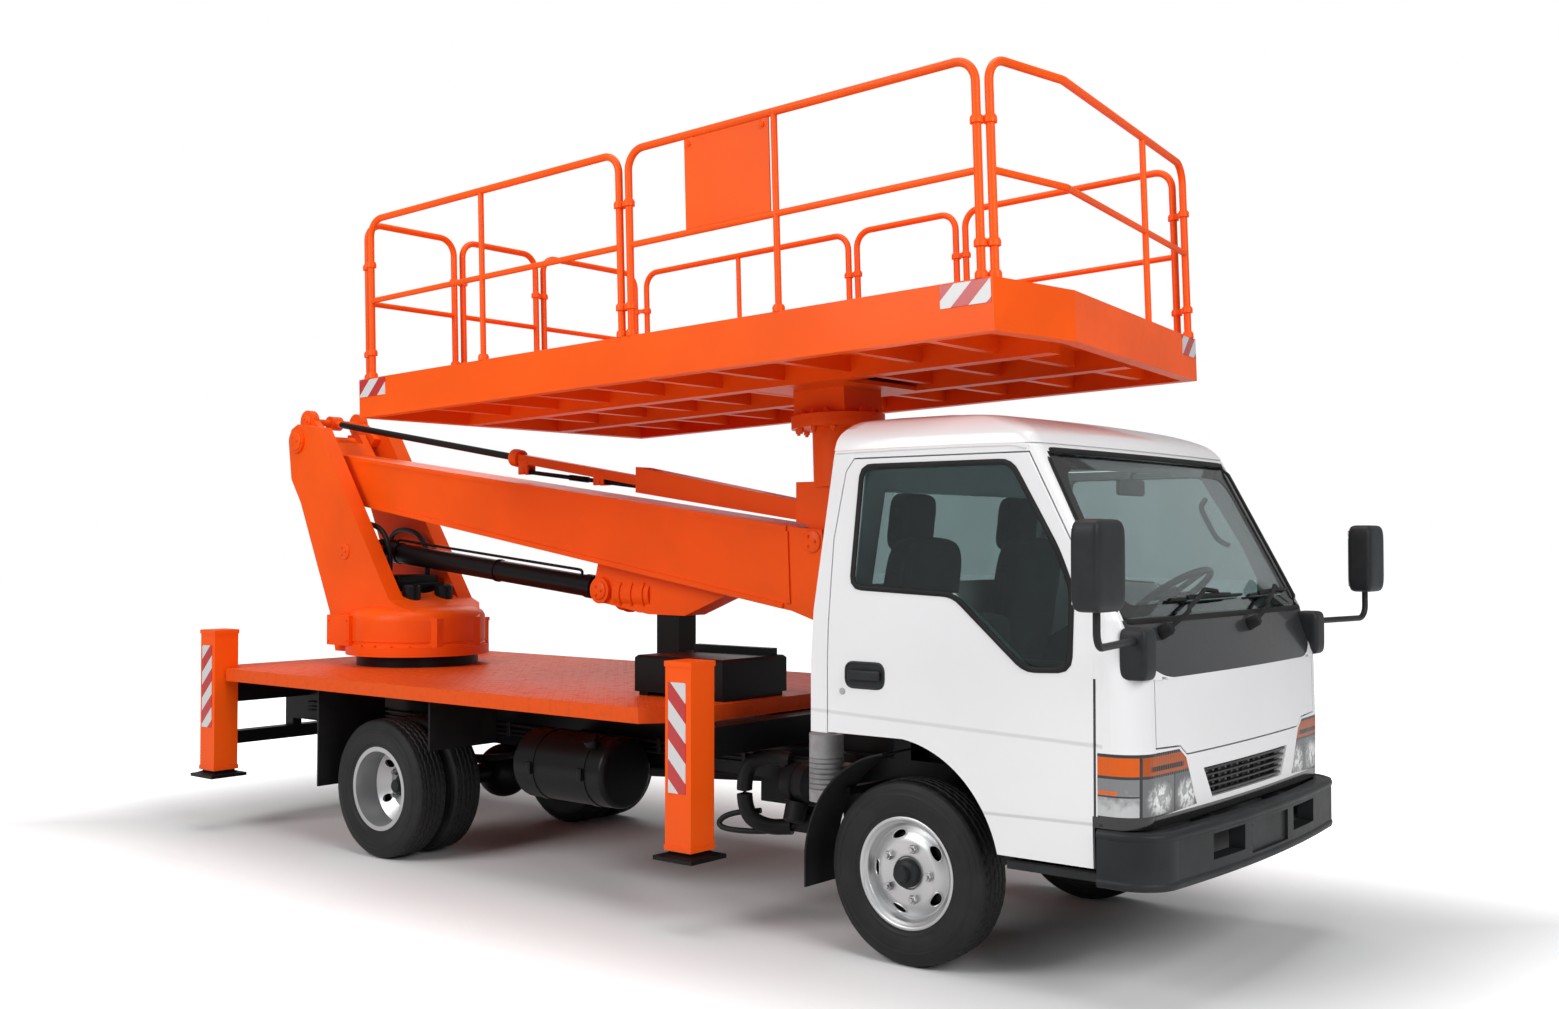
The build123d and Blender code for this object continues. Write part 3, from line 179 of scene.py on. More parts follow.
def carried(path, profile, up, closed=False):
    """Profile of (sideways, upwards) offsets carried along a path; up is kept as near as it can be."""
    path = np.array(path, float)
    if closed:
        ahead = np.roll(path, -1, 0) - np.roll(path, 1, 0)
    else:
        ahead = np.gradient(path, axis=0)
    ahead = ahead / np.linalg.norm(ahead, axis=1, keepdims=True)
    up = np.broadcast_to(np.array(up, float), path.shape)
    side = np.cross(ahead, up)
    side = side / np.linalg.norm(side, axis=1, keepdims=True)
    over = np.cross(side, ahead)
    profile = np.array(profile, float)
    points = path[:, None] + profile[None, :, :1] * side[:, None] + profile[None, :, 1:] * over[:, None]
    return surface(points, wrap_rows=closed, wrap_columns=True, caps=not closed)


def round_profile(radius, sides=12):
    """Circle of offsets."""
    a = np.linspace(0, 2 * np.pi, sides, endpoint=False)
    return np.stack([radius * np.cos(a), radius * np.sin(a)], -1)


def flat_profile(width, height):
    """Corners of a flat bar's section."""
    w, h = width / 2, height / 2
    return [(-w, -h), (w, -h), (w, h), (-w, h)]


def bar(start, end, width, height):
    """Straight flat bar of a width across and a height up."""
    return carried([start, end], flat_profile(width, height), (0, 0, 1))


def block(low, high, edge, steps=4):
    """Sphere of radius edge with its octants pushed apart to the corners of a box."""
    low, high = np.minimum(low, high), np.maximum(low, high)
    quarter = np.linspace(0, np.pi / 2, steps)
    turn = (np.arange(4)[:, None] * np.pi / 2 + quarter).ravel()
    sign_x = np.repeat([1, -1, -1, 1], steps)
    sign_y = np.repeat([1, 1, -1, -1], steps)
    rise = np.concatenate([-quarter[::-1], quarter])
    sign_z = np.repeat([-1, 1], steps)
    half = (high - low) / 2 - edge
    x = np.cos(rise)[:, None] * np.cos(turn) * edge + sign_x * half[0]
    y = np.cos(rise)[:, None] * np.sin(turn) * edge + sign_y * half[1]
    z = np.sin(rise)[:, None] * edge + (sign_z * half[2])[:, None] + 0 * turn
    return surface(np.stack([x, y, z], -1) + (low + high) / 2, wrap_columns=True, caps=True)


def arc(t, start, corner, end):
    """Quadratic arc that leaves start towards the corner and reaches end as if it came from there."""
    return (1 - t) ** 2 * start + 2 * t * (1 - t) * corner + t**2 * end


def rounded(points, radius, steps=6):
    """Closed outline of corners, each replaced by a quadratic arc that starts radius before it."""
    p = np.array(points, float)
    before, after = np.roll(p, 1, 0) - p, np.roll(p, -1, 0) - p
    before = before / np.linalg.norm(before, axis=1, keepdims=True)
    after = after / np.linalg.norm(after, axis=1, keepdims=True)
    t = np.linspace(0, 1, steps)[None, :, None]
    arcs = arc(t, (p + before * radius)[:, None], p[:, None], (p + after * radius)[:, None])
    return arcs.reshape(-1, p.shape[1])


def running_length(points):
    """Distance along a line of points, from its start to each of them."""
    return np.concatenate([[0], np.cumsum(np.linalg.norm(np.diff(points, axis=0), axis=1))])


def spread(points, count):
    """The same line with a count of points at an even spacing, by interpolation over its length."""
    run = running_length(points)
    even = np.linspace(0, run[-1], count)
    return np.stack([np.interp(even, run, points[:, k]) for k in range(points.shape[1])], -1)


def resampled(outline, spacing):
    """Closed outline with points at an even spacing."""
    loop = np.vstack([outline, outline[:1]])
    count = max(8, int(running_length(loop)[-1] / spacing))
    return spread(loop, count + 1)[:-1]


print("forms ready")


# %% [markdown]
# ## Shader sums
# A finish is a small sum: some noise, some masks, a colour on each side of a mask. Wrapping a socket
# in a class with operators lets the sum be written as Python, and one method adds any other node. Only
# the sockets that the export bakes get something that varies; the rest are plain numbers.

# %% Shader helpers
class Value:
    """A socket that can be added, multiplied and compared; every operator adds one Math node."""

    def __init__(self, finish, socket):
        self.finish = finish
        self.socket = socket

    def math(self, operation, first, second):
        return self.finish.function(operation, first, second)

    def __add__(self, other):
        return self.math("ADD", self, other)

    def __radd__(self, other):
        return self.math("ADD", other, self)

    def __sub__(self, other):
        return self.math("SUBTRACT", self, other)

    def __rsub__(self, other):
        return self.math("SUBTRACT", other, self)

    def __mul__(self, other):
        return self.math("MULTIPLY", self, other)

    def __rmul__(self, other):
        return self.math("MULTIPLY", other, self)

    def __mod__(self, other):
        return self.math("FLOORED_MODULO", self, other)

    def __gt__(self, other):
        return self.math("GREATER_THAN", self, other)

    def __lt__(self, other):
        return self.math("LESS_THAN", self, other)

    def __abs__(self):
        return self.math("ABSOLUTE", self, 0.0)


class Finish:
    """A Principled material; constants are set on its sockets, sums are linked to them."""

    def __init__(self, name, constants=None):
        self.material = bpy.data.materials.new(name)
        self.material.use_nodes = True
        self.tree = self.material.node_tree
        self.shader = self.tree.nodes["Principled BSDF"]
        self.feed(self.shader, constants or {})

    def feed(self, target, sockets):
        for key, value in sockets.items():
            if isinstance(value, Value):
                self.tree.links.new(value.socket, target.inputs[key])
            else:
                target.inputs[key].default_value = value

    def node(self, kind, settings=None, sockets=None, output=0):
        made = self.tree.nodes.new(kind)
        for key, value in (settings or {}).items():
            setattr(made, key, value)
        self.feed(made, sockets or {})
        return Value(self, made.outputs[output])

    def function(self, operation, first, second=0.0):
        return self.node("ShaderNodeMath", {"operation": operation}, {0: first, 1: second})

    def place(self):
        return self.node("ShaderNodeTexCoord", output="Object")

    def xyz(self):
        split = self.node("ShaderNodeSeparateXYZ", sockets={0: self.place()})
        return [Value(self, socket) for socket in split.socket.node.outputs]

    def noise(self, scale, detail=3.0):
        sockets = {"Vector": self.place(), "Scale": scale, "Detail": detail}
        return self.node("ShaderNodeTexNoise", sockets=sockets)

    def ramp(self, value, low, high, to_low=0.0, to_high=1.0):
        limits = {0: value, 1: low, 2: high, 3: to_low, 4: to_high}
        return self.node("ShaderNodeMapRange", {"interpolation_type": "SMOOTHSTEP"}, limits)

    def mix(self, mask, first, second):
        colours = {0: mask}
        for key, colour in ((6, first), (7, second)):
            colours[key] = colour if isinstance(colour, Value) else (*colour, 1.0)
        return self.node("ShaderNodeMix", {"data_type": "RGBA"}, colours, output=2)

    def bump(self, height, depth):
        return self.node("ShaderNodeBump", sockets={"Height": height, "Distance": depth, "Strength": 1.0})

    def done(self, **sums):
        for key, value in sums.items():
            self.feed(self.shader, {key.replace("_", " ").title(): value})
        return self.material


print("shader helpers ready")


# %% [markdown]
# ## Finishes
# Sprayed enamel is never one flat colour: thickness drifts slowly over a panel, and the surface keeps
# a faint orange peel that breaks up reflections. Rubber and moulded plastic differ from it by their
# grain. Each finish below is a function of position in the object, so it stays put when a joint moves.

# %% Paint and plastic
PEEL_SCALE = 260.0
COAT_ROUGH = 0.06


def clouds(f):
    """Slow drift of paint thickness over a panel, from 0 to 1."""
    return f.ramp(f.noise(1.7), 0.35, 0.65)


def wavering(f, rough, swing, scale=38.0):
    """Roughness that wavers about a value with a fine noise."""
    return rough + swing * (f.noise(scale) - 0.5)


def enamel(name, colour, rough, coat, peel=0.00012, drift=0.06, shine=0.3, metallic=0.0):
    """Paint: colour drifts between a darker and a lighter tone, roughness follows a finer noise."""
    gloss = {"Coat Weight": coat, "Coat Roughness": COAT_ROUGH, "Specular IOR Level": shine}
    f = Finish(name, {**gloss, "Metallic": metallic})
    dark = [c * (1 - drift) for c in colour]
    light = [min(1.0, c * (1 + drift)) for c in colour]
    return f.done(
        base_color=f.mix(clouds(f), dark, light),
        roughness=wavering(f, rough, 0.12),
        normal=f.bump(f.noise(PEEL_SCALE, 1.0), peel),
    )


def moulding(name, colour, rough, grain=0.00025, scale=520.0):
    """Plastic or rubber: a fine leathery grain and a slow change of gloss."""
    f = Finish(name, {"Specular IOR Level": 0.18})
    lighter = [c * 1.25 + 0.004 for c in colour]
    return f.done(
        base_color=f.mix(f.ramp(f.noise(6.0), 0.3, 0.7), colour, lighter),
        roughness=wavering(f, rough, 0.14, 24.0),
        normal=f.bump(f.noise(scale, 2.0), grain),
    )


ORANGE = (0.92, 0.098, 0.003)
WHITE = (0.80, 0.80, 0.81)
BLACK = (0.005, 0.005, 0.0055)
orange_paint = enamel("orange_enamel", ORANGE, 0.42, 0.03, shine=0.18)
white_paint = enamel("white_enamel", WHITE, 0.22, 0.6, peel=0.00006, drift=0.012)
black_paint = enamel("black_chassis_paint", BLACK, 0.36, 0.0, shine=0.16)
dark_plastic = moulding("dark_moulding", (0.016, 0.0172, 0.0185), 0.44)
cabin_plastic = moulding("cabin_moulding", (0.028, 0.030, 0.032), 0.6)
satin_black = enamel("satin_black_panel", (0.030, 0.031, 0.033), 0.3, 0.5)
rubber = moulding("black_rubber", (0.007, 0.007, 0.0075), 0.55, scale=300.0)
hose_rubber = moulding("hose_rubber", (0.010, 0.010, 0.011), 0.45, scale=400.0)
silver_paint = enamel("silver_wheel_paint", (0.50, 0.505, 0.51), 0.40, 0.05, metallic=0.88)
nut_steel = enamel("nut_steel", (0.42, 0.42, 0.43), 0.35, 0.0, metallic=0.9)
printed_black = enamel("printed_black_border", (0.012, 0.0125, 0.013), 0.2, 0.3)
print("paints and plastics:", len(bpy.data.materials))


# %% [markdown]
# Some solids carry two colours, such as orange columns on black beams. Cutting the mesh apart would do,
# but a mask of position paints both with one finish. The same masks raise the pressed lines of the cab
# as a bump: its flank steps in below two creases, and the sill under the lamps is black.

# %% Two-tone paint and pressed sheet
BEAM_END = 0.866
ROD_FROM, ROD_TO = AXLE_X - 4.93, AXLE_X - 3.23
SILL_Z, SILL_FROM = 0.702, 0.86
DOOR_EDGE, SEAM_TOP = 0.870, 1.19
UPPER_CREASE, UPPER_FALL = 0.981, 0.033
LOWER_CREASE, LOWER_RISE = 0.655, 0.02


def two_tone(name, first, second, where, rough=0.42):
    """Enamel of the first colour, and of the second one where a mask of position is 1."""
    f = Finish(name, {"Coat Weight": 0.03, "Coat Roughness": COAT_ROUGH, "Specular IOR Level": 0.18})
    tone = f.mix(clouds(f), [c * 0.95 for c in first], first)
    return f.done(
        base_color=f.mix(where(f, *f.xyz()), tone, second),
        roughness=wavering(f, rough, 0.12),
        normal=f.bump(f.noise(PEEL_SCALE, 1.0), 0.0001),
    )


def pressed_white(name):
    """White enamel on pressed sheet: steps of height at two creases, black at the sill and a seam."""
    f = Finish(name, {"Coat Weight": 0.6, "Coat Roughness": COAT_ROUGH, "Specular IOR Level": 0.3})
    x, y, z = f.xyz()
    along = x - AXLE_X
    upper = f.ramp(z + along * UPPER_FALL - UPPER_CREASE, -0.010, 0.010)
    lower = f.ramp(z - along * LOWER_RISE - LOWER_CREASE, -0.008, 0.008)
    flank = (abs(y) > 0.8) * (along < 0.9)
    seam = f.ramp(abs(along - DOOR_EDGE), 0.004, 0.006, 1.0, 0.0) * (z < SEAM_TOP)
    dark = (along > SILL_FROM) * (z < SILL_Z) + seam
    tone = f.mix(clouds(f), [c * 0.988 for c in WHITE], WHITE)
    return f.done(
        base_color=f.mix(dark > 0.5, tone, BLACK),
        roughness=wavering(f, 0.22, 0.08),
        normal=f.bump((upper + lower) * flank + f.noise(PEEL_SCALE, 1.0) * 0.01, 0.007),
    )


def on_beams(f, x, y, z):
    """Mask of the cross beams between the columns."""
    return f.ramp(abs(y), BEAM_END, BEAM_END + 0.001, 1.0, 0.0)


def on_rod(f, x, y, z):
    """Mask of the thin rod in the levelling link."""
    return (x > ROD_FROM) * (x < ROD_TO)


beam_paint = two_tone("orange_columns_black_beams", ORANGE, BLACK, on_beams)
link_paint = two_tone("orange_link_black_rod", ORANGE, BLACK, on_rod, rough=0.38)
cab_white = pressed_white("white_cab_enamel")
print("two-tone paints ready")


# %% [markdown]
# The deck is chequer plate: short raised lozenges that turn by a right angle from one to the next.
# Two families of lozenges, each on its own half-shifted lattice, are added as height for a bump. Modelled
# lozenges would be thousands of faces that nobody sees singly. Glass, chrome, tyres and the ribbed air
# duct need sums of their own too.

# %% Chequer plate, glass, rod, tyre and duct finishes
DECK_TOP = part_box("deck")[1][2]


def chequer_plate(name, colour, pitch=0.068):
    """Height is 1 inside lozenges |a| / long + |b| / short < 1 on two interleaved lattices."""
    f = Finish(name, {"Specular IOR Level": 0.16})
    x, y, z = f.xyz()
    a = (x + y) * (1 / pitch)
    b = (x - y) * (1 / pitch)

    def lozenge(shift, long, short):
        p = abs((a + shift) % 1.0 - 0.5)
        q = abs((b + shift) % 1.0 - 0.5)
        return f.ramp(p * (1 / long) + q * (1 / short), 0.8, 1.1, 1.0, 0.0)

    height = (lozenge(0.0, 0.42, 0.13) + lozenge(0.5, 0.13, 0.42)) * (z > DECK_TOP - 0.001)
    worn = f.ramp(f.noise(26.0, 5.0), 0.45, 0.75)
    tone = f.mix(worn, colour, [c * 0.88 + 0.006 for c in colour])
    # Painted highlight: the raised tops of the lozenges are a lighter copy of the plate's colour.
    painted_highlight = [min(1.0, c * 1.3 + 0.006) for c in colour]
    return f.done(
        base_color=f.mix(height * 0.9, tone, painted_highlight),
        roughness=0.42 + 0.16 * worn,
        normal=f.bump(height, 0.003),
    )


def clear_glass(name, tint):
    """Tinted pane: all transmission, no roughness."""
    f = Finish(name, {"Transmission Weight": 1.0, "IOR": 1.45, "Roughness": 0.0})
    return f.done(base_color=f.mix(f.ramp(f.noise(0.8), 0.3, 0.7), tint, [c * 0.96 for c in tint]))


def polished_rod(name):
    """Hard chrome with faint rings left by grinding."""
    f = Finish(name, {"Metallic": 1.0})
    rings = f.noise(30.0, 1.0)
    tone = f.mix(rings, (0.56, 0.56, 0.57), (0.66, 0.66, 0.67))
    return f.done(base_color=tone, roughness=0.12 + 0.1 * rings)


def tyre_rubber(name):
    """Rubber that is greyer and drier on dusty patches."""
    f = Finish(name, {"Specular IOR Level": 0.22})
    dust = f.ramp(f.noise(9.0, 4.0), 0.4, 0.8)
    return f.done(
        base_color=f.mix(dust, (0.012, 0.012, 0.0125), (0.022, 0.0215, 0.021)),
        roughness=0.5 + 0.15 * dust,
        normal=f.bump(f.noise(420.0, 2.0), 0.0002),
    )


def ribbed_duct(name, colour, pitch=0.022):
    """Grey moulded duct: rings round its middle are a sine wave of height as bump."""
    f = Finish(name, {"Specular IOR Level": 0.3})
    x, y, z = f.xyz()
    rings = f.function("SINE", z * (2 * math.pi / pitch))
    middle_part = f.ramp(z, 0.60, 0.62) * f.ramp(z, 0.74, 0.76, 1.0, 0.0)
    return f.done(
        base_color=f.mix(f.ramp(f.noise(14.0), 0.35, 0.7), colour, [c * 0.75 for c in colour]),
        roughness=wavering(f, 0.5, 0.12, 30.0),
        normal=f.bump(rings * middle_part, 0.005),
    )


duct_grey = ribbed_duct("grey_air_duct", (0.36, 0.37, 0.38))
deck_plate = chequer_plate("orange_chequer_plate", (0.76, 0.085, 0.006))
# Painted light and shade: the windscreen glass is a lighter copy and the door glass a darker copy of one
# glass.
cab_glass = clear_glass("tinted_glass", (0.55, 0.63, 0.63))
door_glass = clear_glass("shaded_door_glass", (0.27, 0.345, 0.345))
chrome_rod = polished_rod("polished_rod")
tyre_finish = tyre_rubber("tyre_rubber")
print("special finishes ready")


# %% [markdown]
# The record names a material slot for every CAD node, and a table turns slots into finishes. A few nodes
# need a finish of their own, so a second table by node comes first.

# %% Give every CAD node its finish
SLOT_FINISH = {
    "orange_paint": orange_paint,
    "deck_paint": deck_plate,
    "white_paint": white_paint,
    "black_paint": black_paint,
    "dark_plastic": dark_plastic,
    "cabin_plastic": cabin_plastic,
    "seat_cloth": cabin_plastic,
    "glass": cab_glass,
    "lamp": cab_glass,
    "tyre": tyre_finish,
    "rim": silver_paint,
    "steel": chrome_rod,
    "rubber": rubber,
}
NODE_FINISH = {
    "outrigger_frames": beam_paint,
    "levelling_link": link_paint,
    "air_cleaner": duct_grey,
    "cowl_panel": satin_black,
    "door_glass_right": door_glass,
    "door_glass_left": door_glass,
    "cab_shell": cab_white,
    "door_right": cab_white,
    "door_left": cab_white,
}
for part in frame["record"]["subparts"]:
    mesh = nodes[part["node"]].data
    mesh.materials.clear()
    mesh.materials.append(NODE_FINISH.get(part["node"], SLOT_FINISH[part["material_slot"]]))


# %% [markdown]
# ## Studio
# A pale floor takes the shadow, and large soft lamps give broad reflections. The world and the floor far
# from the truck are white for the camera and through glass, but dimmed to a share in reflections, and
# they light the truck only a little. So the background is plain and the paint isn't washed out.

# %% Floor
GLOSSY_SHARE = 0.34
WHITE_RAYS = (("Is Glossy Ray", GLOSSY_SHARE), ("Is Transmission Ray", 1.0))
FLOOR_HALF = 60.0
SHADOW_X, SHADOW_Y = 3.3, 1.0
f = Finish("studio_floor", {"Roughness": 0.9, "Specular IOR Level": 0.05, "Emission Strength": 1.0})
x, y, z = f.xyz()
beside = f.ramp(abs(y) - SHADOW_Y, 0.0, 2.1)
beyond = f.ramp(abs(x) - SHADOW_X, 0.0, 2.0)
seen = f.node("ShaderNodeLightPath", output="Is Camera Ray")
for ray, share in WHITE_RAYS:
    seen = f.function("MAXIMUM", seen, f.node("ShaderNodeLightPath", output=ray) * share)
glow = f.mix(f.function("MAXIMUM", beside, beyond) * seen, (0, 0, 0), (1, 1, 1))
floor_finish = f.done(base_color=(0.82, 0.82, 0.82, 1.0), emission_color=glow)
floor_mesh = bpy.data.meshes.new("studio_floor")
floor_corners = FLOOR_HALF * np.array([(-1, -1, 0), (1, -1, 0), (1, 1, 0), (-1, 1, 0)])
floor_mesh.from_pydata(floor_corners.tolist(), [], [(0, 1, 2, 3)])
floor_mesh.materials.append(floor_finish)
floor = bpy.data.objects.new("studio_floor", floor_mesh)
bpy.context.collection.objects.link(floor)
print("floor laid")


# %% [markdown]
# The world mixes a faint bluish light with plain white. Which of the two a ray meets depends on its kind,
# so the white is seen behind the truck but hardly lights it.

# %% World
world = bpy.data.worlds.new("studio_world")
world.use_nodes = True
bpy.context.scene.world = world
tree = world.node_tree
tree.nodes.clear()


def background(colour, strength):
    """Output of a background shader."""
    made = tree.nodes.new("ShaderNodeBackground")
    made.inputs["Color"].default_value = (*colour, 1.0)
    made.inputs["Strength"].default_value = strength
    return made.outputs[0]


rays = tree.nodes.new("ShaderNodeLightPath")
shown = rays.outputs["Is Camera Ray"]
for ray, share in WHITE_RAYS:
    dimmed = tree.nodes.new("ShaderNodeMath")
    dimmed.operation = "MULTIPLY"
    dimmed.inputs[1].default_value = share
    tree.links.new(rays.outputs[ray], dimmed.inputs[0])
    either = tree.nodes.new("ShaderNodeMath")
    either.operation = "MAXIMUM"
    tree.links.new(shown, either.inputs[0])
    tree.links.new(dimmed.outputs[0], either.inputs[1])
    shown = either.outputs[0]
mixer = tree.nodes.new("ShaderNodeMixShader")
tree.links.new(shown, mixer.inputs["Fac"])
tree.links.new(background((0.93, 0.96, 1.0), 0.13), mixer.inputs[1])
tree.links.new(background((1.0, 1.0, 1.0), 1.0), mixer.inputs[2])
out = tree.nodes.new("ShaderNodeOutputWorld")
tree.links.new(mixer.outputs[0], out.inputs["Surface"])
print("world nodes:", len(tree.nodes))


# %% [markdown]
# Four square area lamps stand round the truck: a key from its right side, one in front, a weak one
# behind and a broad one overhead. Large lamps give shadows with soft edges, as in the photograph.

# %% Lamps
def soft_lamp(name, place, target, size, power):
    """Square area lamp at place that faces target."""
    data = bpy.data.lights.new(name, "AREA")
    data.size = size
    data.energy = power
    lamp = bpy.data.objects.new(name, data)
    lamp.location = Vector(place)
    aim = Vector(target) - Vector(place)
    lamp.rotation_euler = aim.to_track_quat("-Z", "Y").to_euler()
    bpy.context.collection.objects.link(lamp)


soft_lamp("key_lamp", (-2.0, -9.5, 6.6), (0, 0, 1.0), 6.0, 655)
soft_lamp("front_lamp", (10.0, -3.0, 6.0), (1.5, 0, 1.2), 5.0, 560)
soft_lamp("back_lamp", (-8.0, 7.0, 6.0), (-1.0, 0, 1.2), 5.0, 110)
soft_lamp("top_lamp", (0.5, 0.0, 12.0), (0, 0, 1.0), 9.0, 720)
print("lamps:", len(bpy.data.lights))


# %% [markdown]
# ## Tyres
# A road tyre is a turned section, but its tread isn't: grooves zigzag round it and short slots cut the
# shoulders. On a grid over angle and section the radius can simply be lowered where a groove runs.

# %% Tyre surface
tyre_low, tyre_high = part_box("front_tyre_right")
TYRE_RADIUS, TYRE_WIDTH = (tyre_high[2] - tyre_low[2]) / 2, tyre_high[1] - tyre_low[1]
BEAD_RADIUS, BEAD_HALF = 0.2055, 0.0755
TREAD_HALF = 0.0735
WALL_RINGS = (0.12, 0.24, 0.62, 0.70, 0.86)
GROOVES = (-0.044, -0.0147, 0.0147, 0.044)
GROOVE_HALF, GROOVE_DEPTH = 0.0042, 0.008
SLOT_FROM, SLOT_DEPTH = 0.056, 0.005


def tyre_grid(centre, around=192):
    """Section radius r(s), offset y(s): bead, bulged wall, shoulder, crown; minus grooves over the angle."""
    s = np.linspace(0, 1, 34)
    wall_r = BEAD_RADIUS + 0.0015 + s * (TYRE_RADIUS - 0.016 - BEAD_RADIUS)
    wall_y = BEAD_HALF + (TYRE_WIDTH / 2 - BEAD_HALF) * np.sin(np.pi * 0.86 * s)
    rings = sum(np.exp(-(((s - place) / 0.018) ** 2)) for place in WALL_RINGS)
    wall_y = wall_y + 0.0022 * rings
    crown_y = np.linspace(TREAD_HALF, -TREAD_HALF, 50)
    crown_r = TYRE_RADIUS - 0.005 * (crown_y / TREAD_HALF) ** 2
    y = np.concatenate([wall_y, crown_y, -wall_y[::-1]])
    r = np.concatenate([wall_r, crown_r, wall_r[::-1]])
    a = np.linspace(0, 2 * np.pi, around, endpoint=False)[:, None]
    zig = 0.0035 * (2 * np.abs((a * 24 / np.pi) % 1.0 * 2 - 1) - 1)
    depth = np.zeros((around, len(y)))
    on_crown = (np.abs(y) < TREAD_HALF) & (r > TYRE_RADIUS - 0.006)
    for index, groove in enumerate(GROOVES):
        line = groove + zig * (1 if index % 2 else -1)
        depth = np.maximum(depth, (np.abs(y - line) < GROOVE_HALF) * on_crown * GROOVE_DEPTH)
    slot = ((np.arange(around) % 4) == 0)[:, None] & (np.abs(y) > SLOT_FROM) & on_crown
    radius = r - np.maximum(depth, slot * SLOT_DEPTH)
    points = np.stack([radius * np.cos(a), 0 * a + y, radius * np.sin(a)], -1) + np.array(centre)
    return surface(points, wrap_rows=True, wrap_columns=True)


rear_low, rear_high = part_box("rear_tyres_right")
TWIN_HALF = (rear_high[1] - rear_low[1] - TYRE_WIDTH) / 2
for side in ("right", "left"):
    for node, body, offsets in (
        ("front_tyre_" + side, "front_wheel_" + side, (0.0,)),
        ("rear_tyres_" + side, "rear_wheels_" + side, (-TWIN_HALF, TWIN_HALF)),
    ):
        tyres = [tyre_grid(middle(node) + np.array([0, y, 0])) for y in offsets]
        tyre = piece("tread_" + node, tyres, tyre_finish, body)
        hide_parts(node)
print("tyres:", len(tyre.data.polygons), "faces on a twin pair")


# %% [markdown]
# ## Wheels
# The rim is one turned section. Its disc has five oval hand holes: a Boolean cut would leave long thin
# faces, so the quads inside each oval are left out and a round bead covers the stepped edge. A black
# drum behind the disc is what the holes show.

# %% Rim and disc
RIM_SECTION = [
    (0.2225, -0.076), (0.2235, -0.0835), (0.214, -0.086), (0.205, -0.08), (0.197, -0.066), (0.188, -0.04),
    (0.181, 0.0), (0.181, 0.038), (0.186, 0.046), (0.190, 0.058), (0.1925, 0.068), (0.197, 0.0735),
    (0.203, 0.0765), (0.2065, 0.081), (0.211, 0.0855), (0.217, 0.087), (0.2225, 0.0845), (0.2235, 0.080),
    (0.2225, 0.074),
]
DISC_SECTION = np.array([
    (0.183, 0.040), (0.176, 0.041), (0.168, 0.046), (0.158, 0.0535), (0.146, 0.061), (0.134, 0.0665),
    (0.126, 0.0685), (0.075, 0.0685), (0.066, 0.067), (0.062, 0.06), (0.0, 0.06),
])
DRUM_SECTION = [(0.0, 0.03), (0.14, 0.03), (0.165, 0.022), (0.172, 0.01), (0.172, -0.055), (0.0, -0.055)]
HOLE_CIRCLE, HOLE_LONG, HOLE_WIDE = 0.155, 0.034, 0.0165
DISC_TURNS, DISC_STEPS = 360, 110
NUTS = 5


def wheel_disc(centre, axis):
    """Turned disc whose quads inside five ovals are left out, and a round bead along each oval's edge."""
    w, u, v = basis(axis)
    section = spread(DISC_SECTION, DISC_STEPS)
    angle = np.linspace(0, 2 * np.pi, DISC_TURNS, endpoint=False)

    def place(radius, along, turn):
        radius, along, turn = (np.asarray(k)[..., None] for k in (radius, along, turn))
        return np.array(centre) + radius * (np.cos(turn) * u + np.sin(turn) * v) + along * w

    points = place(section[:, 0][None], section[:, 1][None], angle[:, None])
    quads = grid_quads(DISC_TURNS, DISC_STEPS, True, False)
    turn = (quads[:, 0] // DISC_STEPS + 0.5) * 2 * np.pi / DISC_TURNS
    turn = np.abs(turn % (2 * np.pi / NUTS) - np.pi / NUTS)
    radius = section[quads % DISC_STEPS, 0].mean(1)
    inside = (turn * radius / HOLE_LONG) ** 2 + ((radius - HOLE_CIRCLE) / HOLE_WIDE) ** 2 < 1
    made = [(points.reshape(-1, 3), quads[~inside].tolist())]
    t = np.linspace(0, 2 * np.pi, 40, endpoint=False)
    for middle_turn in (np.arange(NUTS) + 0.5) * 2 * np.pi / NUTS:
        r = HOLE_CIRCLE + (HOLE_WIDE + 0.001) * np.sin(t)
        along = np.interp(r, section[::-1, 0], section[::-1, 1])
        edge = place(r, along, middle_turn + (HOLE_LONG + 0.001) * np.cos(t) / r)
        made.append(carried(edge, round_profile(0.0034, 8), w, closed=True))
    return made


print("rim section:", len(RIM_SECTION), "points")


# %% [markdown]
# Five hexagon nuts on their studs hold each wheel, round a dark hub cap. A nut is a profile turned with
# six sides, and a stud the same with twelve.

# %% Wheels with nuts and hub caps
NUT_CIRCLE, NUT_RADIUS, NUT_HEIGHT = 0.104, 0.019, 0.022
HUB_OUT, DISH_OUT = 0.068, 0.012
HUB_CAP = [
    (0.0, 0.062), (0.026, 0.062), (0.031, 0.057), (0.033, 0.03), (0.05, 0.026), (0.056, 0.02),
    (0.058, 0.0), (0.0, 0.0),
]
AXLE_END = [(r * 1.15, d * 1.3) for r, d in HUB_CAP]


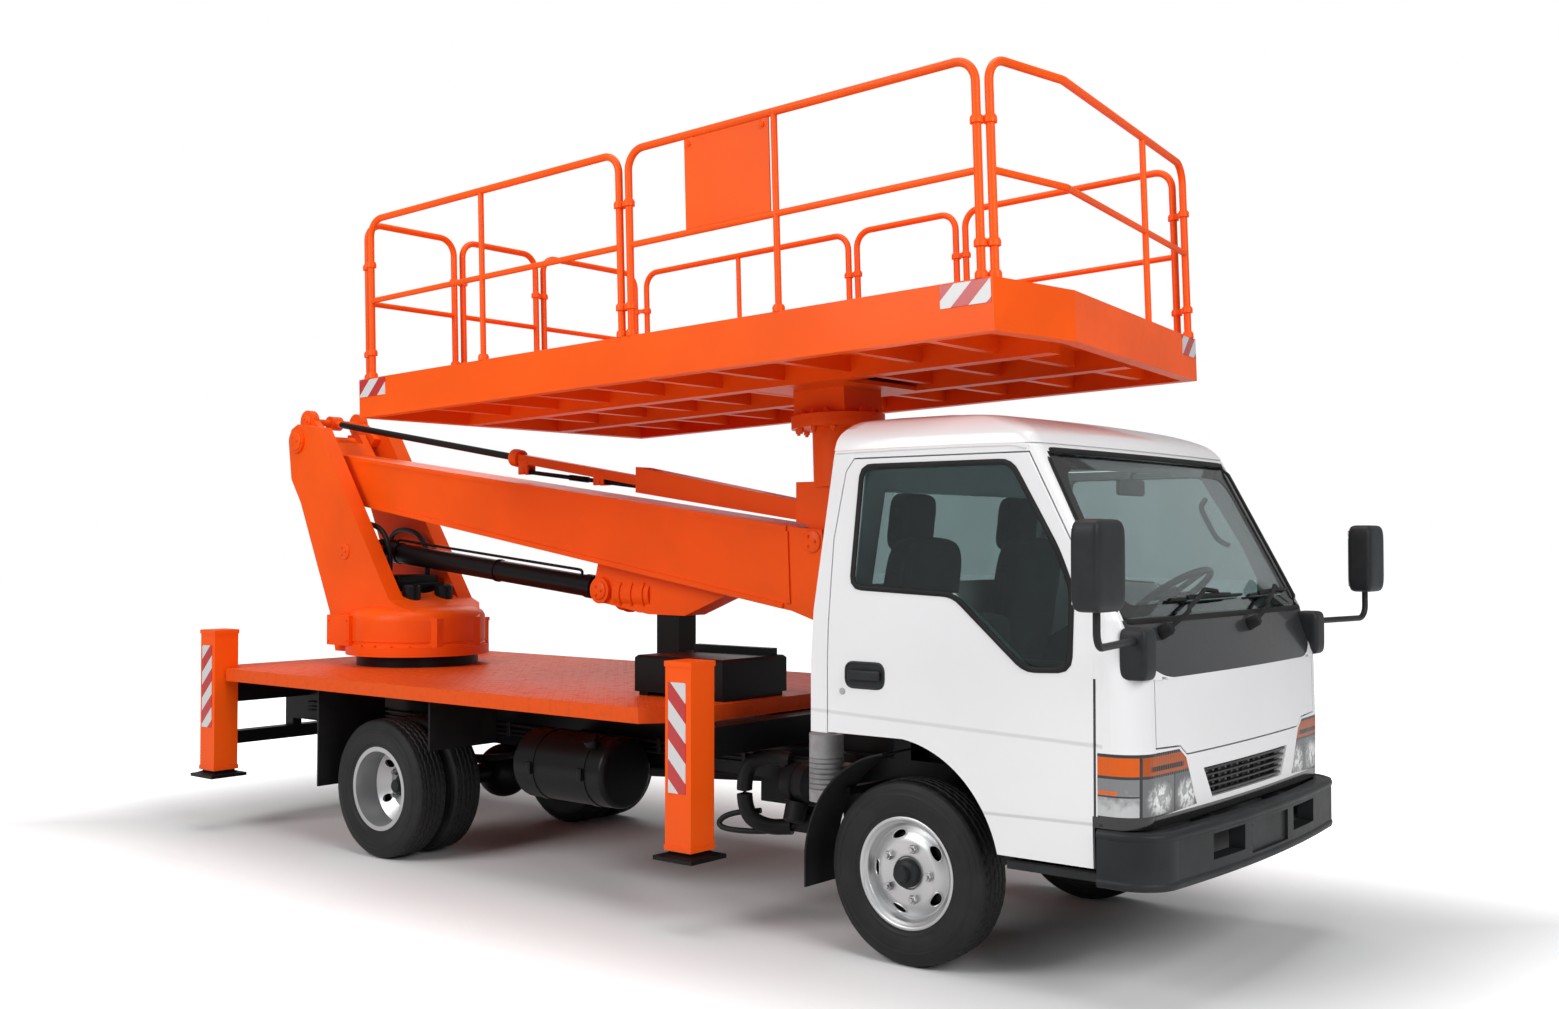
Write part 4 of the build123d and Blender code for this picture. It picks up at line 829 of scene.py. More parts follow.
def bolts(centre, axis, circle, count, radius, height, phase=0.0):
    """Hexagon nuts with round stud ends at even angles on a circle."""
    w, u, v = basis(axis)
    nut = [(0.0, height), (radius * 0.86, height), (radius, height * 0.86), (radius, 0.0), (0.0, 0.0)]
    stud = [(0.0, height * 1.5), (radius * 0.5, height * 1.5), (radius * 0.55, height * 1.4)]
    stud += [(radius * 0.55, height), (0.0, height)]
    made = []
    for angle in phase + np.arange(count) * 2 * np.pi / count:
        foot = np.array(centre) + circle * (np.cos(angle) * u + np.sin(angle) * v)
        made += [turned(nut, foot, axis, 6), turned(stud, foot, axis, 12)]
    return made


for side, sign in SIDES:
    axis = (0, sign, 0)
    front, rear = "front_wheel_" + side, "rear_wheels_" + side
    centre = middle("front_tyre_" + side)
    rim = [turned(RIM_SECTION, centre, axis, 96, caps=False)] + wheel_disc(centre, axis)
    rim = piece("front_wheel_rim_" + side, rim, silver_paint, front)
    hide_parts("front_rim_" + side)
    brake_drum = [turned(DRUM_SECTION, centre, axis, 48)]
    piece("brake_drum_" + side, brake_drum, black_paint, front)
    hub = centre + np.array([0, sign * HUB_OUT, 0])
    dish = middle("rear_tyres_" + side) + np.array([0, sign * DISH_OUT, 0])
    for place, foot, cap, body in (("front", hub, HUB_CAP, front), ("rear", dish, AXLE_END, rear)):
        nuts = bolts(foot, axis, NUT_CIRCLE, NUTS, NUT_RADIUS, NUT_HEIGHT)
        piece(f"{place}_nuts_{side}", nuts, nut_steel, body)
        piece(f"{place}_hub_cap_{side}", [turned(cap, foot, axis, 32)], dark_plastic, body)
print("wheels, nuts and hub caps made")


# %% [markdown]
# ## Warning stripes
# Reflective plates with red and white diagonals mark the outrigger columns and the corners of the
# platform. The pattern is a sum of coordinates taken modulo the stripe's pitch, so it runs unbroken
# over a plate that turns a corner.

# %% Stripe plates
def striped(name, slant, pitch):
    """Red where (z + slant x - y) modulo the pitch lies in its first half, white in the second."""
    f = Finish(name, {"Coat Weight": 0.4, "Coat Roughness": 0.1})
    x, y, z = f.xyz()
    red = ((z + x * slant - y) * (1 / pitch)) % 1.0 < 0.5
    grain = f.noise(60.0)
    return f.done(
        base_color=f.mix(red, (0.62, 0.62, 0.62), (0.47, 0.008, 0.010)),
        roughness=0.3 + 0.15 * grain,
        normal=f.bump(f.noise(700.0, 1.0), 0.0001),
    )


rising_stripes = striped("rising_stripes", -1.0, 0.15)
falling_stripes = striped("falling_stripes", 1.0, 0.17)
PLATE = 0.003
TRIM = math.radians(1.9)
SWING_POINT = at(-0.945, 0.0, 2.25)


def on_platform(surfaces):
    """Turns surfaces drawn on a level platform nose up about the middle of its swing joint."""
    tipped = []
    for points, faces in surfaces:
        d = points - SWING_POINT
        x = d[:, 0] * math.cos(TRIM) - d[:, 2] * math.sin(TRIM)
        z = d[:, 0] * math.sin(TRIM) + d[:, 2] * math.cos(TRIM)
        tipped.append((SWING_POINT + np.stack([x, d[:, 1], z], -1), faces))
    return tipped


column_low, column_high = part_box("outrigger_frames")
COLUMN_SIDE, COLUMN_LIP = 0.15, 0.004
STRIPE_LOW, STRIPE_HIGH = 0.60, 1.075
stripe_z = (STRIPE_LOW + STRIPE_HIGH) / 2
for name, column_x, finish in (
    ("rear", column_low[0] + COLUMN_LIP + COLUMN_SIDE / 2, rising_stripes),
    ("front", column_high[0] - COLUMN_LIP - COLUMN_SIDE / 2, falling_stripes),
):
    plates = []
    for face_y in (column_low[1] + COLUMN_LIP - PLATE / 2, column_high[1] - COLUMN_LIP + PLATE / 2):
        ends = [(x, face_y, stripe_z) for x in (column_x - 0.055, column_x + 0.045)]
        plates.append(bar(*ends, PLATE, STRIPE_HIGH - STRIPE_LOW))
    piece(name + "_column_stripes", plates, finish, "chassis")

TOE_LOW, TOE_HIGH = 2.506, 2.594
SIDE_Y = 1.05 + PLATE / 2
NOSE_CORNER, FAR_CORNER = np.array([0.63, -0.56]), np.array([0.41, 1.05])
rake = (FAR_CORNER - NOSE_CORNER) / np.linalg.norm(FAR_CORNER - NOSE_CORNER)
rake_out = np.array([rake[1], -rake[0]]) * PLATE / 2
toe_z = (TOE_LOW + TOE_HIGH) / 2
platform_plates = []
for start, end in (
    ((0.33, -SIDE_Y), (0.55, -SIDE_Y)),
    ((-3.262, -SIDE_Y), (-3.05, -SIDE_Y)),
    ((0.19, SIDE_Y), (0.40, SIDE_Y)),
    ((-3.262, SIDE_Y), (-3.05, SIDE_Y)),
    (FAR_CORNER - 0.22 * rake + rake_out, FAR_CORNER - 0.01 * rake + rake_out),
):
    platform_plates.append(bar(at(*start, toe_z), at(*end, toe_z), PLATE, TOE_HIGH - TOE_LOW))
piece("platform_stripes", on_platform(platform_plates), rising_stripes, "platform")
print("stripe plates:", 4 + len(platform_plates))


# %% [markdown]
# ## Seals round the glass
# Every pane sits in a black rubber channel. Its line is drawn flat, as seen from the front or from the
# side, and dropped onto the cab by casting a ray from each point, so the seal follows the panel's curve.

# %% Drop outlines onto the cab
AHEAD, ASIDE = 3.0, 2.0
SCREEN_OUT = np.array([0.88, 0.0, 0.47])


def ray_tree(*names):
    """Search tree over the triangles of CAD nodes, which are read as whole arrays."""
    points, corners, start = [], [], 0
    for name in names:
        mesh = nodes[name].data
        mesh.calc_loop_triangles()
        places = np.empty(len(mesh.vertices) * 3, np.float32)
        mesh.vertices.foreach_get("co", places)
        indices = np.empty(len(mesh.loop_triangles) * 3, np.int32)
        mesh.loop_triangles.foreach_get("vertices", indices)
        points.append(places.reshape(-1, 3))
        corners.append(indices.reshape(-1, 3) + start)
        start += len(mesh.vertices)
    return BVHTree.FromPolygons(np.concatenate(points).tolist(), np.concatenate(corners).tolist())


def dropped(tree, points, direction):
    """Where rays from the points meet the tree; a ray that misses takes its neighbour's depth."""
    axis = int(np.argmax(np.abs(direction)))
    hits = [tree.ray_cast(Vector(p), Vector(direction))[0] for p in points]
    depth = np.array([np.nan if hit is None else hit[axis] for hit in hits])
    known = ~np.isnan(depth)
    points = np.array(points, float)
    points[:, axis] = np.interp(np.arange(len(depth)), np.flatnonzero(known), depth[known])
    return points


def onto_front(tree, points):
    """Points of (y, z) dropped backwards onto the front of the cab."""
    return dropped(tree, np.column_stack([np.full(len(points), AHEAD + AXLE_X), points]), (-1, 0, 0))


def onto_side(tree, points, sign):
    """Points of (x from the axle, z) dropped inwards onto one side of the cab."""
    path = np.column_stack([points[:, 0] + AXLE_X, np.full(len(points), sign * ASIDE), points[:, 1]])
    return dropped(tree, path, (0, -sign, 0))


SEAL = [(-0.011, -0.004), (-0.011, 0.002), (-0.007, 0.005), (0.007, 0.005), (0.011, 0.002), (0.011, -0.004)]
SCREEN_OUTLINE = [(-0.858, 1.392), (0.858, 1.392), (0.818, 2.024), (-0.818, 2.024)]
WINDOW_OUTLINE = [
    (-0.212, 1.497), (0.270, 1.477), (0.588, 1.207), (0.771, 1.216),
    (0.777, 1.506), (0.714, 1.652), (0.513, 1.981), (-0.173, 1.981),
]
front_tree = ray_tree("cab_shell", "cowl_panel", "cab_glass", "front_lid", "headlamps")
screen_path = onto_front(front_tree, resampled(rounded(SCREEN_OUTLINE, 0.05), 0.03))
seal = [carried(screen_path, SEAL, SCREEN_OUT, closed=True)]
piece("windscreen_seal", seal, rubber, "chassis")
window_line = resampled(rounded(WINDOW_OUTLINE, 0.045), 0.025)
for side, sign in SIDES:
    path = onto_side(ray_tree("door_" + side), window_line, sign)
    seal = [carried(path, SEAL, (0, sign, 0), closed=True)]
    piece("window_seal_" + side, seal, rubber, "door_" + side)
print("seals:", len(screen_path), "and", len(window_line), "points")


# %% [markdown]
# ## Headlamps and grille
# The lamps wrap the corners: an amber turn lens on top, clear lenses below whose reflectors' bright
# streaks are painted reflections. The lens solid keeps its CAD shape, and the zones are masks of height
# and distance round the corner.

# %% Lamp lenses
AMBER_FROM, CORNER_Y, CELL_Y, MARKER_Z = 0.845, 0.85, 0.642, 0.778


def lamp_lens(name):
    """Cells of a lamp cluster as masks of height z and of distance |y| from the middle of the truck."""
    f = Finish(name, {"Coat Weight": 0.12, "Coat Roughness": 0.03, "Specular IOR Level": 0.25})
    x, y, z = f.xyz()
    out = abs(y)

    def line(distance, half):
        return f.ramp(abs(distance), half, half + 0.002, 1.0, 0.0)

    def bowl(centre_y, centre_z):
        square = (out - centre_y) * (out - centre_y) + (z - centre_z) * (z - centre_z) * 1.6
        return f.ramp(square + 0.004 * f.noise(70.0), 0.001, 0.011, 1.0, 0.0)

    amber = z > AMBER_FROM
    corner = out > CORNER_Y
    slot = line(z - 0.872, 0.008) * f.ramp(abs(out - 0.69), 0.10, 0.13, 1.0, 0.0)
    dim = f.mix(slot, (0.40, 0.075, 0.006), (0.03, 0.012, 0.006))
    turn_lens = f.mix(corner, dim, (0.66, 0.10, 0.001))
    # Painted reflections: a noise picks bright and grey streaks for the studio mirrored in the reflectors.
    glint_streaks = f.ramp(f.noise(38.0, 2.0), 0.44, 0.54)
    painted_glints = f.mix(glint_streaks, (0.36, 0.365, 0.37), (0.86, 0.865, 0.87))
    front = f.mix(bowl(0.745, 0.76), (0.15, 0.153, 0.157), painted_glints)
    inner = f.mix(bowl(0.55, 0.755), (0.11, 0.114, 0.118), painted_glints)
    side = f.mix(f.ramp(z - 0.10 * f.noise(45.0), 0.67, 0.75), (0.50, 0.505, 0.51), (0.20, 0.205, 0.21))
    clear = f.mix(corner, f.mix(out > CELL_Y, inner, front), side)
    marker = corner * line(z - MARKER_Z - 0.012, 0.006) * (x < AXLE_X + 0.955)
    clear = f.mix(marker, clear, (0.70, 0.12, 0.01))
    frames = line(z - AMBER_FROM, 0.004) + line(out - CORNER_Y, 0.004) + (z < 0.707) + (z > 0.916)
    frames = frames + line(out - CELL_Y, 0.003) * (z < AMBER_FROM) + corner * line(z - MARKER_Z, 0.002)
    flutes = f.function("SINE", (out + x) * 420.0)
    return f.done(
        base_color=f.mix(frames > 0.5, f.mix(amber, clear, turn_lens), (0.035, 0.036, 0.038)),
        roughness=0.16 + 0.1 * amber,
        normal=f.bump(flutes, 0.0004),
    )


lens_finish = lamp_lens("lamp_lens")
nodes["headlamps"].data.materials.clear()
nodes["headlamps"].data.materials.append(lens_finish)
print("lamps painted")


# %% [markdown]
# The grille is a set of thin louvres, each a flat oval carried across the nose. Upright ribs tie them
# together, and a dark sheet behind closes the view into the cab: painted shade for the depth behind
# the grille.

# %% Grille louvres
GRILLE_LOW, GRILLE_HIGH, GRILLE_BARS = 0.722, 0.838, 5
NOSE_Z, SET_BACK = 0.865, 0.022
LOUVRE = [
    (-0.013, -0.001), (0.0, -0.0055), (0.013, -0.004), (0.015, 0.0),
    (0.013, 0.004), (0.0, 0.0055), (-0.013, 0.003),
]
span = np.linspace(-1, 1, 25)
louvres = []
for height in np.linspace(GRILLE_LOW + 0.012, GRILLE_HIGH - 0.012, GRILLE_BARS):
    half = 0.343 + 0.073 * (height - GRILLE_LOW) / (GRILLE_HIGH - GRILLE_LOW) + 0.004
    line = onto_front(front_tree, np.column_stack([span * half, np.full(len(span), NOSE_Z)]))
    line[:, 2] = height
    line[:, 0] -= SET_BACK
    louvres.append(carried(line, LOUVRE, (0, 0, 1)))
front_edge = louvres[0][0].reshape(-1, len(LOUVRE), 3)[:, 0]
ribs = []
for y in np.linspace(-0.34, 0.34, 7):
    x = np.interp(y, front_edge[:, 1], front_edge[:, 0])
    rib_low = (x - 0.012, y - 0.002, GRILLE_LOW + 0.001)
    rib_high = (x + 0.006, y + 0.002, GRILLE_HIGH - 0.001)
    ribs.append(block(rib_low, rib_high, 0.001, 2))
# Painted shade: a dark sheet just behind the louvres stands for the shadow inside the grille.
sheet = np.column_stack([front_edge[:, 0] - 0.018, front_edge[:, 1] * 0.98, np.full(len(span), 0.78)])
sheet = carried(sheet, flat_profile(0.004, 0.114), (0, 0, 1))
grille = piece("grille_louvres", louvres + ribs + [sheet], satin_black, "chassis")
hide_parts("grille")
print("louvres:", len(louvres))


# %% [markdown]
# ## Wipers, handles and mirrors
# These small fittings tell the eye how big the cab is. A wiper is a bent arm and a thin blade that both
# lie on the glass, so its lines are dropped onto the screen as the seals were and then raised off it.

# %% Wipers
ARM_PROFILE = [(-0.009, -0.004), (0.009, -0.004), (0.007, 0.005), (-0.007, 0.005)]
BLADE_PROFILE = [(-0.004, -0.009), (0.004, -0.009), (0.006, 0.003), (0.0, 0.009), (-0.006, 0.003)]
SPINDLE_CAP = [(0.0, 0.05), (0.018, 0.05), (0.024, 0.042), (0.026, 0.0), (0.0, 0.0)]
WIPERS = (
    ("near", (-0.616, 1.345), (-0.146, 1.478), (-0.442, 1.455), (0.231, 1.457)),
    ("far", (0.171, 1.345), (0.600, 1.476), (0.303, 1.452), (0.800, 1.466)),
)
screen_tree = ray_tree("cab_glass", "cowl_panel", "cab_shell")
t = np.linspace(0, 1, 14)[:, None]
arch = np.sin(np.pi * t) * SCREEN_OUT


def on_screen(points, lift):
    """Points of (y, z) dropped onto the windscreen side of the cab and raised off it."""
    return onto_front(screen_tree, points) + SCREEN_OUT * lift


for name, *corners in WIPERS:
    pivot, elbow, heel, tip = np.array(corners)
    arm = on_screen(pivot + (elbow - pivot) * t, 0.034) + 0.016 * arch
    blade = on_screen(heel + (tip - heel) * t, 0.012)
    holder = on_screen(elbow + ((heel + tip) / 2 + [0.07, 0.012] - elbow) * t, 0.032)
    bow = on_screen(heel + (tip - heel) * (0.2 + 0.6 * t), 0.022) + 0.008 * arch
    spindle = turned(SPINDLE_CAP, on_screen([pivot], 0.0)[0], SCREEN_OUT, 20)
    wiper = [carried(path, ARM_PROFILE, SCREEN_OUT) for path in (arm, holder, bow)]
    wiper += [carried(blade, BLADE_PROFILE, SCREEN_OUT), spindle]
    piece("wiper_" + name, wiper, rubber, "chassis")
print("wipers on the screen")


# %% [markdown]
# A door handle is a pull bar in a shallow black dish, with a lock below it. The dish is the outline of
# its rim, shrunk towards the middle in four rows. The outside mirrors get a thin block of bright metal.

# %% Door handles, locks and mirror glass
HANDLE_X, HANDLE_Z = (-0.232, -0.048), (1.098, 1.196)
DOOR_SKIN = 0.9
LOCK = [(0.0, 0.006), (0.011, 0.006), (0.013, 0.004), (0.014, -0.004), (0.0, -0.004)]
MIRROR_Y, MIRROR_LOW, MIRROR_BACK = 1.315, 1.457, 1.0485
for side, sign in SIDES:
    skin = sign * DOOR_SKIN
    rim = [(HANDLE_X[i], HANDLE_Z[j]) for i, j in ((0, 0), (1, 0), (1, 1), (0, 1))]
    rim = resampled(rounded(rim, 0.036), 0.008)
    rim = np.column_stack([rim[:, 0] + AXLE_X, np.full(len(rim), skin), rim[:, 1]])
    hollow = rim.mean(0) + (rim - rim.mean(0)) * np.array([1.0, 0.75, 0.4, 0.0])[:, None, None]
    hollow[:, :, 1] += sign * np.array([0.003, 0.0022, 0.0014, 0.001])[:, None]
    dish = surface(hollow, wrap_columns=True)
    frame_ring = carried(rim, round_profile(0.006, 8), (0, sign, 0), closed=True)
    grip_low = at(HANDLE_X[0] + 0.018, skin + sign * 0.004, HANDLE_Z[0] + 0.03)
    grip_high = at(HANDLE_X[1] - 0.012, skin + sign * 0.022, HANDLE_Z[1] - 0.028)
    grip = block(grip_low, grip_high, 0.008, 5)
    piece("door_handle_" + side, [dish, frame_ring, grip], dark_plastic, "door_" + side)
    lock = [turned(LOCK, at(-0.25, skin, 1.078), (0, sign, 0), 20)]
    piece("door_lock_" + side, lock, nut_steel, "door_" + side)

f = Finish("mirror_glass", {"Metallic": 1.0, "Roughness": 0.02})
mirror_glass = f.done(base_color=f.mix(f.noise(3.0), (0.82, 0.84, 0.85), (0.88, 0.9, 0.9)))
for side, sign in SIDES:
    low = at(MIRROR_BACK - 0.003, sign * MIRROR_Y - 0.078, MIRROR_LOW + 0.018)
    high = at(MIRROR_BACK + 0.001, sign * MIRROR_Y + 0.078, MIRROR_LOW + 0.272)
    piece("mirror_glass_" + side, [block(low, high, 0.0015, 3)], mirror_glass, "chassis")
print("handles, locks and mirrors made")


# %% [markdown]
# ## Seats
# A cab seat is foam under cloth: each cushion bulges between its edges and pulls in along sewn lines. A
# superellipsoid, which is a sphere with its sine and cosine raised to a small power, gives the full but
# soft-edged form, and shallow grooves across it give the sewn channels.

# %% Cloth and cushions
def woven(name, colour, pitch=0.004):
    """Weave: two crossed sine waves as height, with painted shade in the gaps so the threads look lighter."""
    f = Finish(name, {"Sheen Weight": 0.3, "Specular IOR Level": 0.2})
    x, y, z = f.xyz()
    wave = 2 * math.pi / pitch
    height = f.function("SINE", (x + z) * wave) * f.function("SINE", y * wave)
    return f.done(
        base_color=f.mix(f.ramp(height, -1.0, 1.0), colour, [c * 1.6 + 0.01 for c in colour]),
        roughness=wavering(f, 0.85, 0.1, 20.0),
        normal=f.bump(height, 0.0008),
    )


seat_cloth = woven("seat_cloth", (0.045, 0.047, 0.052))


def cushion(centre, half, lean, channels, power=0.42):
    """Superellipsoid with half sizes, grooved across its length and leaned about Y."""
    u = np.linspace(-np.pi / 2, np.pi / 2, 33)[:, None]
    v = np.linspace(0, 2 * np.pi, 64, endpoint=False)[None]

    def soft(value):
        return np.sign(value) * np.abs(value) ** power

    x = half[0] * soft(np.cos(u)) * soft(np.cos(v))
    y = half[1] * soft(np.cos(u)) * soft(np.sin(v))
    z = half[2] * soft(np.sin(u)) + 0 * v
    groove = np.abs(np.sin(channels * np.pi * x / (2 * half[0])))
    z = z * (1 - 0.035 * np.exp(-((groove / 0.16) ** 2)))
    c, s = math.cos(lean), math.sin(lean)
    points = np.stack([x * c + z * s, y, -x * s + z * c], -1) + np.array(centre)
    return surface(points, wrap_columns=True, caps=True)


SEAT_Y = 0.44
HINGE = [(0.0, 0.012), (0.03, 0.012), (0.036, 0.006), (0.036, 0.0), (0.0, 0.0)]
for name, sign in SIDES:
    y = sign * SEAT_Y
    base = cushion(at(0.0, y, 1.085), (0.24, 0.24, 0.08), math.radians(-3), 3)
    back = cushion(at(-0.185, y, 1.40), (0.30, 0.23, 0.065), math.radians(-81), 4)
    head = cushion(at(-0.222, y, 1.76), (0.125, 0.13, 0.048), math.radians(-83), 1)
    seat = piece("seat_cushions_" + name, [base, back, head], seat_cloth, "chassis", smooth=60)
    if name == "right":
        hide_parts("seats")
    plinth = block(at(-0.21, y - 0.19, 0.946), at(0.16, y + 0.19, 1.02), 0.012)
    stems = [(at(-0.228, y + k - 0.008, 1.6), at(-0.208, y + k + 0.008, 1.7)) for k in (-0.06, 0.06)]
    stems = [block(low, high, 0.006) for low, high in stems]
    knobs = [turned(HINGE, at(-0.15, y + k * 0.235, 1.12), (0, k, 0), 20) for k in (-1, 1)]
    piece("seat_frame_" + name, [plinth] + stems + knobs, cabin_plastic, "chassis")
base = cushion(at(0.0, 0.0, 1.03), (0.20, 0.15, 0.06), math.radians(-3), 2)
back = cushion(at(-0.15, 0.0, 1.16), (0.20, 0.15, 0.06), math.radians(-80), 3)
seat = piece("seat_cushions_middle", [base, back], seat_cloth, "chassis", smooth=60)
print("seats made")


# %% [markdown]
# ## Steelwork of the boom and the turret
# The boom is a welded box: its top and bottom plates stand a little proud of the webs, and every pin
# ends in a cap held by small screws. Flanges are bolted in rings. A lip is a flat bar carried along an
# edge, a cap is a turned profile, and a ring of bolts reuses the wheel nut.

# %% Lips, pin caps and flange bolts
BOOM_SIDE = 0.153
TURNTABLE_X, TURNTABLE_TOP, BOLT_CIRCLE = -4.14, 1.0603, 0.415
TURRET_DRUM = [
    (0.0, 0.235), (0.26, 0.235), (0.34, 0.222), (0.385, 0.20), (0.40, 0.175), (0.402, 0.15),
    (0.402, 0.03), (0.396, 0.026), (0.396, 0.014), (0.404, 0.008), (0.404, -0.004), (0.0, -0.004),
]
TURNTABLE_BOLTS = (-90, -75, -60, -45, 45, 60, 75, 90, 105, 120)
TURRET_PINS = ((-4.95, 0.326, 2.31, 0.06), (-5.01, 0.205, 2.44, 0.042), (-4.45, 0.31, 1.62, 0.05))
SWING_AXIS = np.array([-math.sin(TRIM), 0.0, math.cos(TRIM)])

def pin_cap(x, y, z, radius):
    """Chamfered cap on the end of a pin across the truck, with three screws."""
    sign = np.sign(y)
    profile = [(0.0, 0.012), (radius * 0.8, 0.012), (radius, 0.006), (radius, -0.004), (0.0, -0.004)]
    screws = bolts(at(x, y + sign * 0.012, z), (0, sign, 0), radius * 0.5, 3, 0.008, 0.006)
    return [turned(profile, at(x, y, z), (0, sign, 0), 28)] + screws


lips = []
for sign in (-1, 1):
    y = sign * BOOM_SIDE
    lips.append(bar(at(-4.55, y, 2.1855), at(-1.14, y, 1.742), 0.012, 0.026))
    lips.append(bar(at(-4.40, y, 1.895), at(-1.16, y, 1.371), 0.012, 0.026))
    lips.append(bar(at(-1.145, y, 1.73), at(-1.13, y, 1.385), 0.012, 0.03))
caps = [c for y in (-0.1, 0.1) for c in pin_cap(-2.47, y, 1.418, 0.05)]
caps += [c for y in (-0.15, 0.15) for c in pin_cap(-0.99, y, 1.68, 0.055)]
piece("boom_lips", lips + caps, orange_paint, "boom")

turret_caps = []
for x, y, z, radius in TURRET_PINS:
    turret_caps += pin_cap(x, -y, z, radius) + pin_cap(x, y, z, radius)
turret_caps.append(turned(TURRET_DRUM, at(TURNTABLE_X, 0, TURNTABLE_TOP), (0, 0, 1), 72))
for phase in np.radians(TURNTABLE_BOLTS):
    x, y = TURNTABLE_X + BOLT_CIRCLE * math.cos(phase), BOLT_CIRCLE * math.sin(phase)
    turret_caps += bolts(at(x, y, TURNTABLE_TOP), (0, 0, 1), 0.0, 1, 0.010, 0.010)
for z in (1.09, 1.21):
    for x in (-4.47, -4.29):
        turret_caps += bolts(at(x, -0.405, z), (0, -1, 0), 0.0, 1, 0.008, 0.006)
piece("turret_caps", turret_caps, orange_paint, "turret")

under_flange = bolts(SWING_POINT - 0.03 * SWING_AXIS, -SWING_AXIS, 0.192, 12, 0.015, 0.018)
piece("swing_flange_bolts_low", under_flange, orange_paint, "platform_bracket")
over_flange = []
for phase in (-0.36, 0.0, 0.36):
    over_flange += bolts(SWING_POINT + 0.0303 * SWING_AXIS, SWING_AXIS, 0.197, 4, 0.014, 0.016, phase)
piece("swing_flange_bolts_high", over_flange, orange_paint, "platform")
print("pin caps and bolts:", len(caps) + len(turret_caps) + len(under_flange) + len(over_flange))


# %% [markdown]
# A thin rod with a turnbuckle hangs under the levelling link, between plates with a pin through them.
# Beads close the link's ends. All of it is blocks and turned profiles that ride on the link.

# %% Levelling rod and clevises
LINK_AXIS = (0.9876, 0, -0.1571)
PIN = [(0, 0.036), (0.016, 0.036), (0.016, -0.036), (0, -0.036)]
END_BEAD = [(0.03, -0.03), (0.05, -0.03), (0.052, 0.0), (0.05, 0.03), (0.03, 0.03)]
rod = carried([at(-3.15, 0, 2.075), at(-2.20, 0, 1.965)], round_profile(0.012), (0, 0, 1))
sleeve = carried([at(-2.80, 0, 2.0345), at(-2.66, 0, 2.0183)], round_profile(0.018, 6), (0, 0, 1))
piece("levelling_turnbuckle", [rod, sleeve], black_paint, "levelling_link")
hangers = []
for x, low, high in ((-3.16, 2.06, 2.15), (-2.55, 1.985, 2.06)):
    for y in (-0.026, 0.026):
        hangers.append(block(at(x - 0.04, y - 0.006, low), at(x + 0.04, y + 0.006, high), 0.004))
    hangers.append(turned(PIN, at(x, 0, low + 0.018), (0, 1, 0), 16))
for x, z in ((-3.235, 2.157), (-2.19, 1.99)):
    hangers.append(turned(END_BEAD, at(x, 0, z), LINK_AXIS, 20))
piece("levelling_clevises", hangers, orange_paint, "levelling_link")
print("levelling rod made")


# %% [markdown]
# Oil runs to the lift cylinder in a steel pipe along its barrel, and to the turret in hoses that rise
# from a valve block. A pipe is a circle carried along a line whose corners have become arcs. Each hose
# stays on one body, so none of them has to stretch when the boom lifts.

# %% Cylinder pipe, hoses and valves
FEED = ((0.14, 0.055), (0.14, 0.085), (0.2, 0.085), (1.72, 0.085), (1.78, 0.085), (1.78, 0.055))
HOSE_RADII = (0.016, 0.016, 0.012)
HOSE_PATHS = (
    ((-4.30, -0.12, 1.25), (-4.24, -0.12, 1.60), (-4.33, -0.13, 1.78), (-4.60, -0.16, 1.80),
     (-4.70, -0.18, 1.70)),
    ((-4.26, 0.12, 1.25), (-4.18, 0.12, 1.58), (-4.30, 0.13, 1.74), (-4.58, 0.16, 1.76),
     (-4.68, 0.18, 1.66)),
    ((-4.34, -0.09, 1.25), (-4.30, -0.10, 1.52), (-4.42, -0.12, 1.70), (-4.64, -0.17, 1.72),
     (-4.72, -0.18, 1.60)),
)
MOTOR = [(0.0, 0.13), (0.045, 0.13), (0.055, 0.12), (0.055, 0.02), (0.075, 0.015), (0.075, 0.0), (0.0, 0.0)]
barrel_axis = np.array([1.98, 0.0, -0.202]) / np.linalg.norm([1.98, 0.0, -0.202])
barrel_up = np.array([-barrel_axis[2], 0.0, barrel_axis[0]])
barrel_foot = at(-4.45, 0, 1.62)


def pipe(points, radius, up=(0, 0, 1), steps=12):
    """Tube along a path: each inner corner becomes an arc between the middles of the lines beside it."""
    p = np.array(points, float)
    mid = (p[:-1] + p[1:]) / 2
    t = np.linspace(0, 1, steps, endpoint=False)[None, :, None]
    arcs = arc(t, mid[:-1, None], p[1:-1, None], mid[1:, None]).reshape(-1, 3)
    return carried(np.vstack([p[:1], arcs, mid[-1:], p[-1:]]), round_profile(radius, 12), up)


def on_barrel(along, out, y):
    """Point by distance along the lift cylinder, above its axis and beside it."""
    return barrel_foot + barrel_axis * along + barrel_up * out + np.array([0.0, y, 0.0])


oil = [pipe([on_barrel(along, out, -0.03) for along, out in FEED], 0.008, (0, 1, 0))]
for along, width in ((0.10, 0.05), (1.05, 0.024), (1.80, 0.07)):
    ring = [(0.058, 0.0), (0.066, 0.004), (0.066, width - 0.004), (0.058, width)]
    oil.append(turned(ring, on_barrel(along, 0, 0), barrel_axis, 32))
piece("lift_cylinder_pipe", oil, black_paint, "lift_barrel")
valves = [block(at(-4.42, -0.185, 1.29), at(-4.12, 0.185, 1.43), 0.012, 5)]
for x in 0.07 * np.arange(4):
    valves.append(block(at(-4.40 + x, -0.15, 1.42), at(-4.35 + x, 0.15, 1.475), 0.008))
valves += [turned(MOTOR, at(-4.05, y, 1.29), (0, 0, 1), 28) for y in (-0.12, 0.12)]
piece("turret_valves", valves, black_paint, "turret")
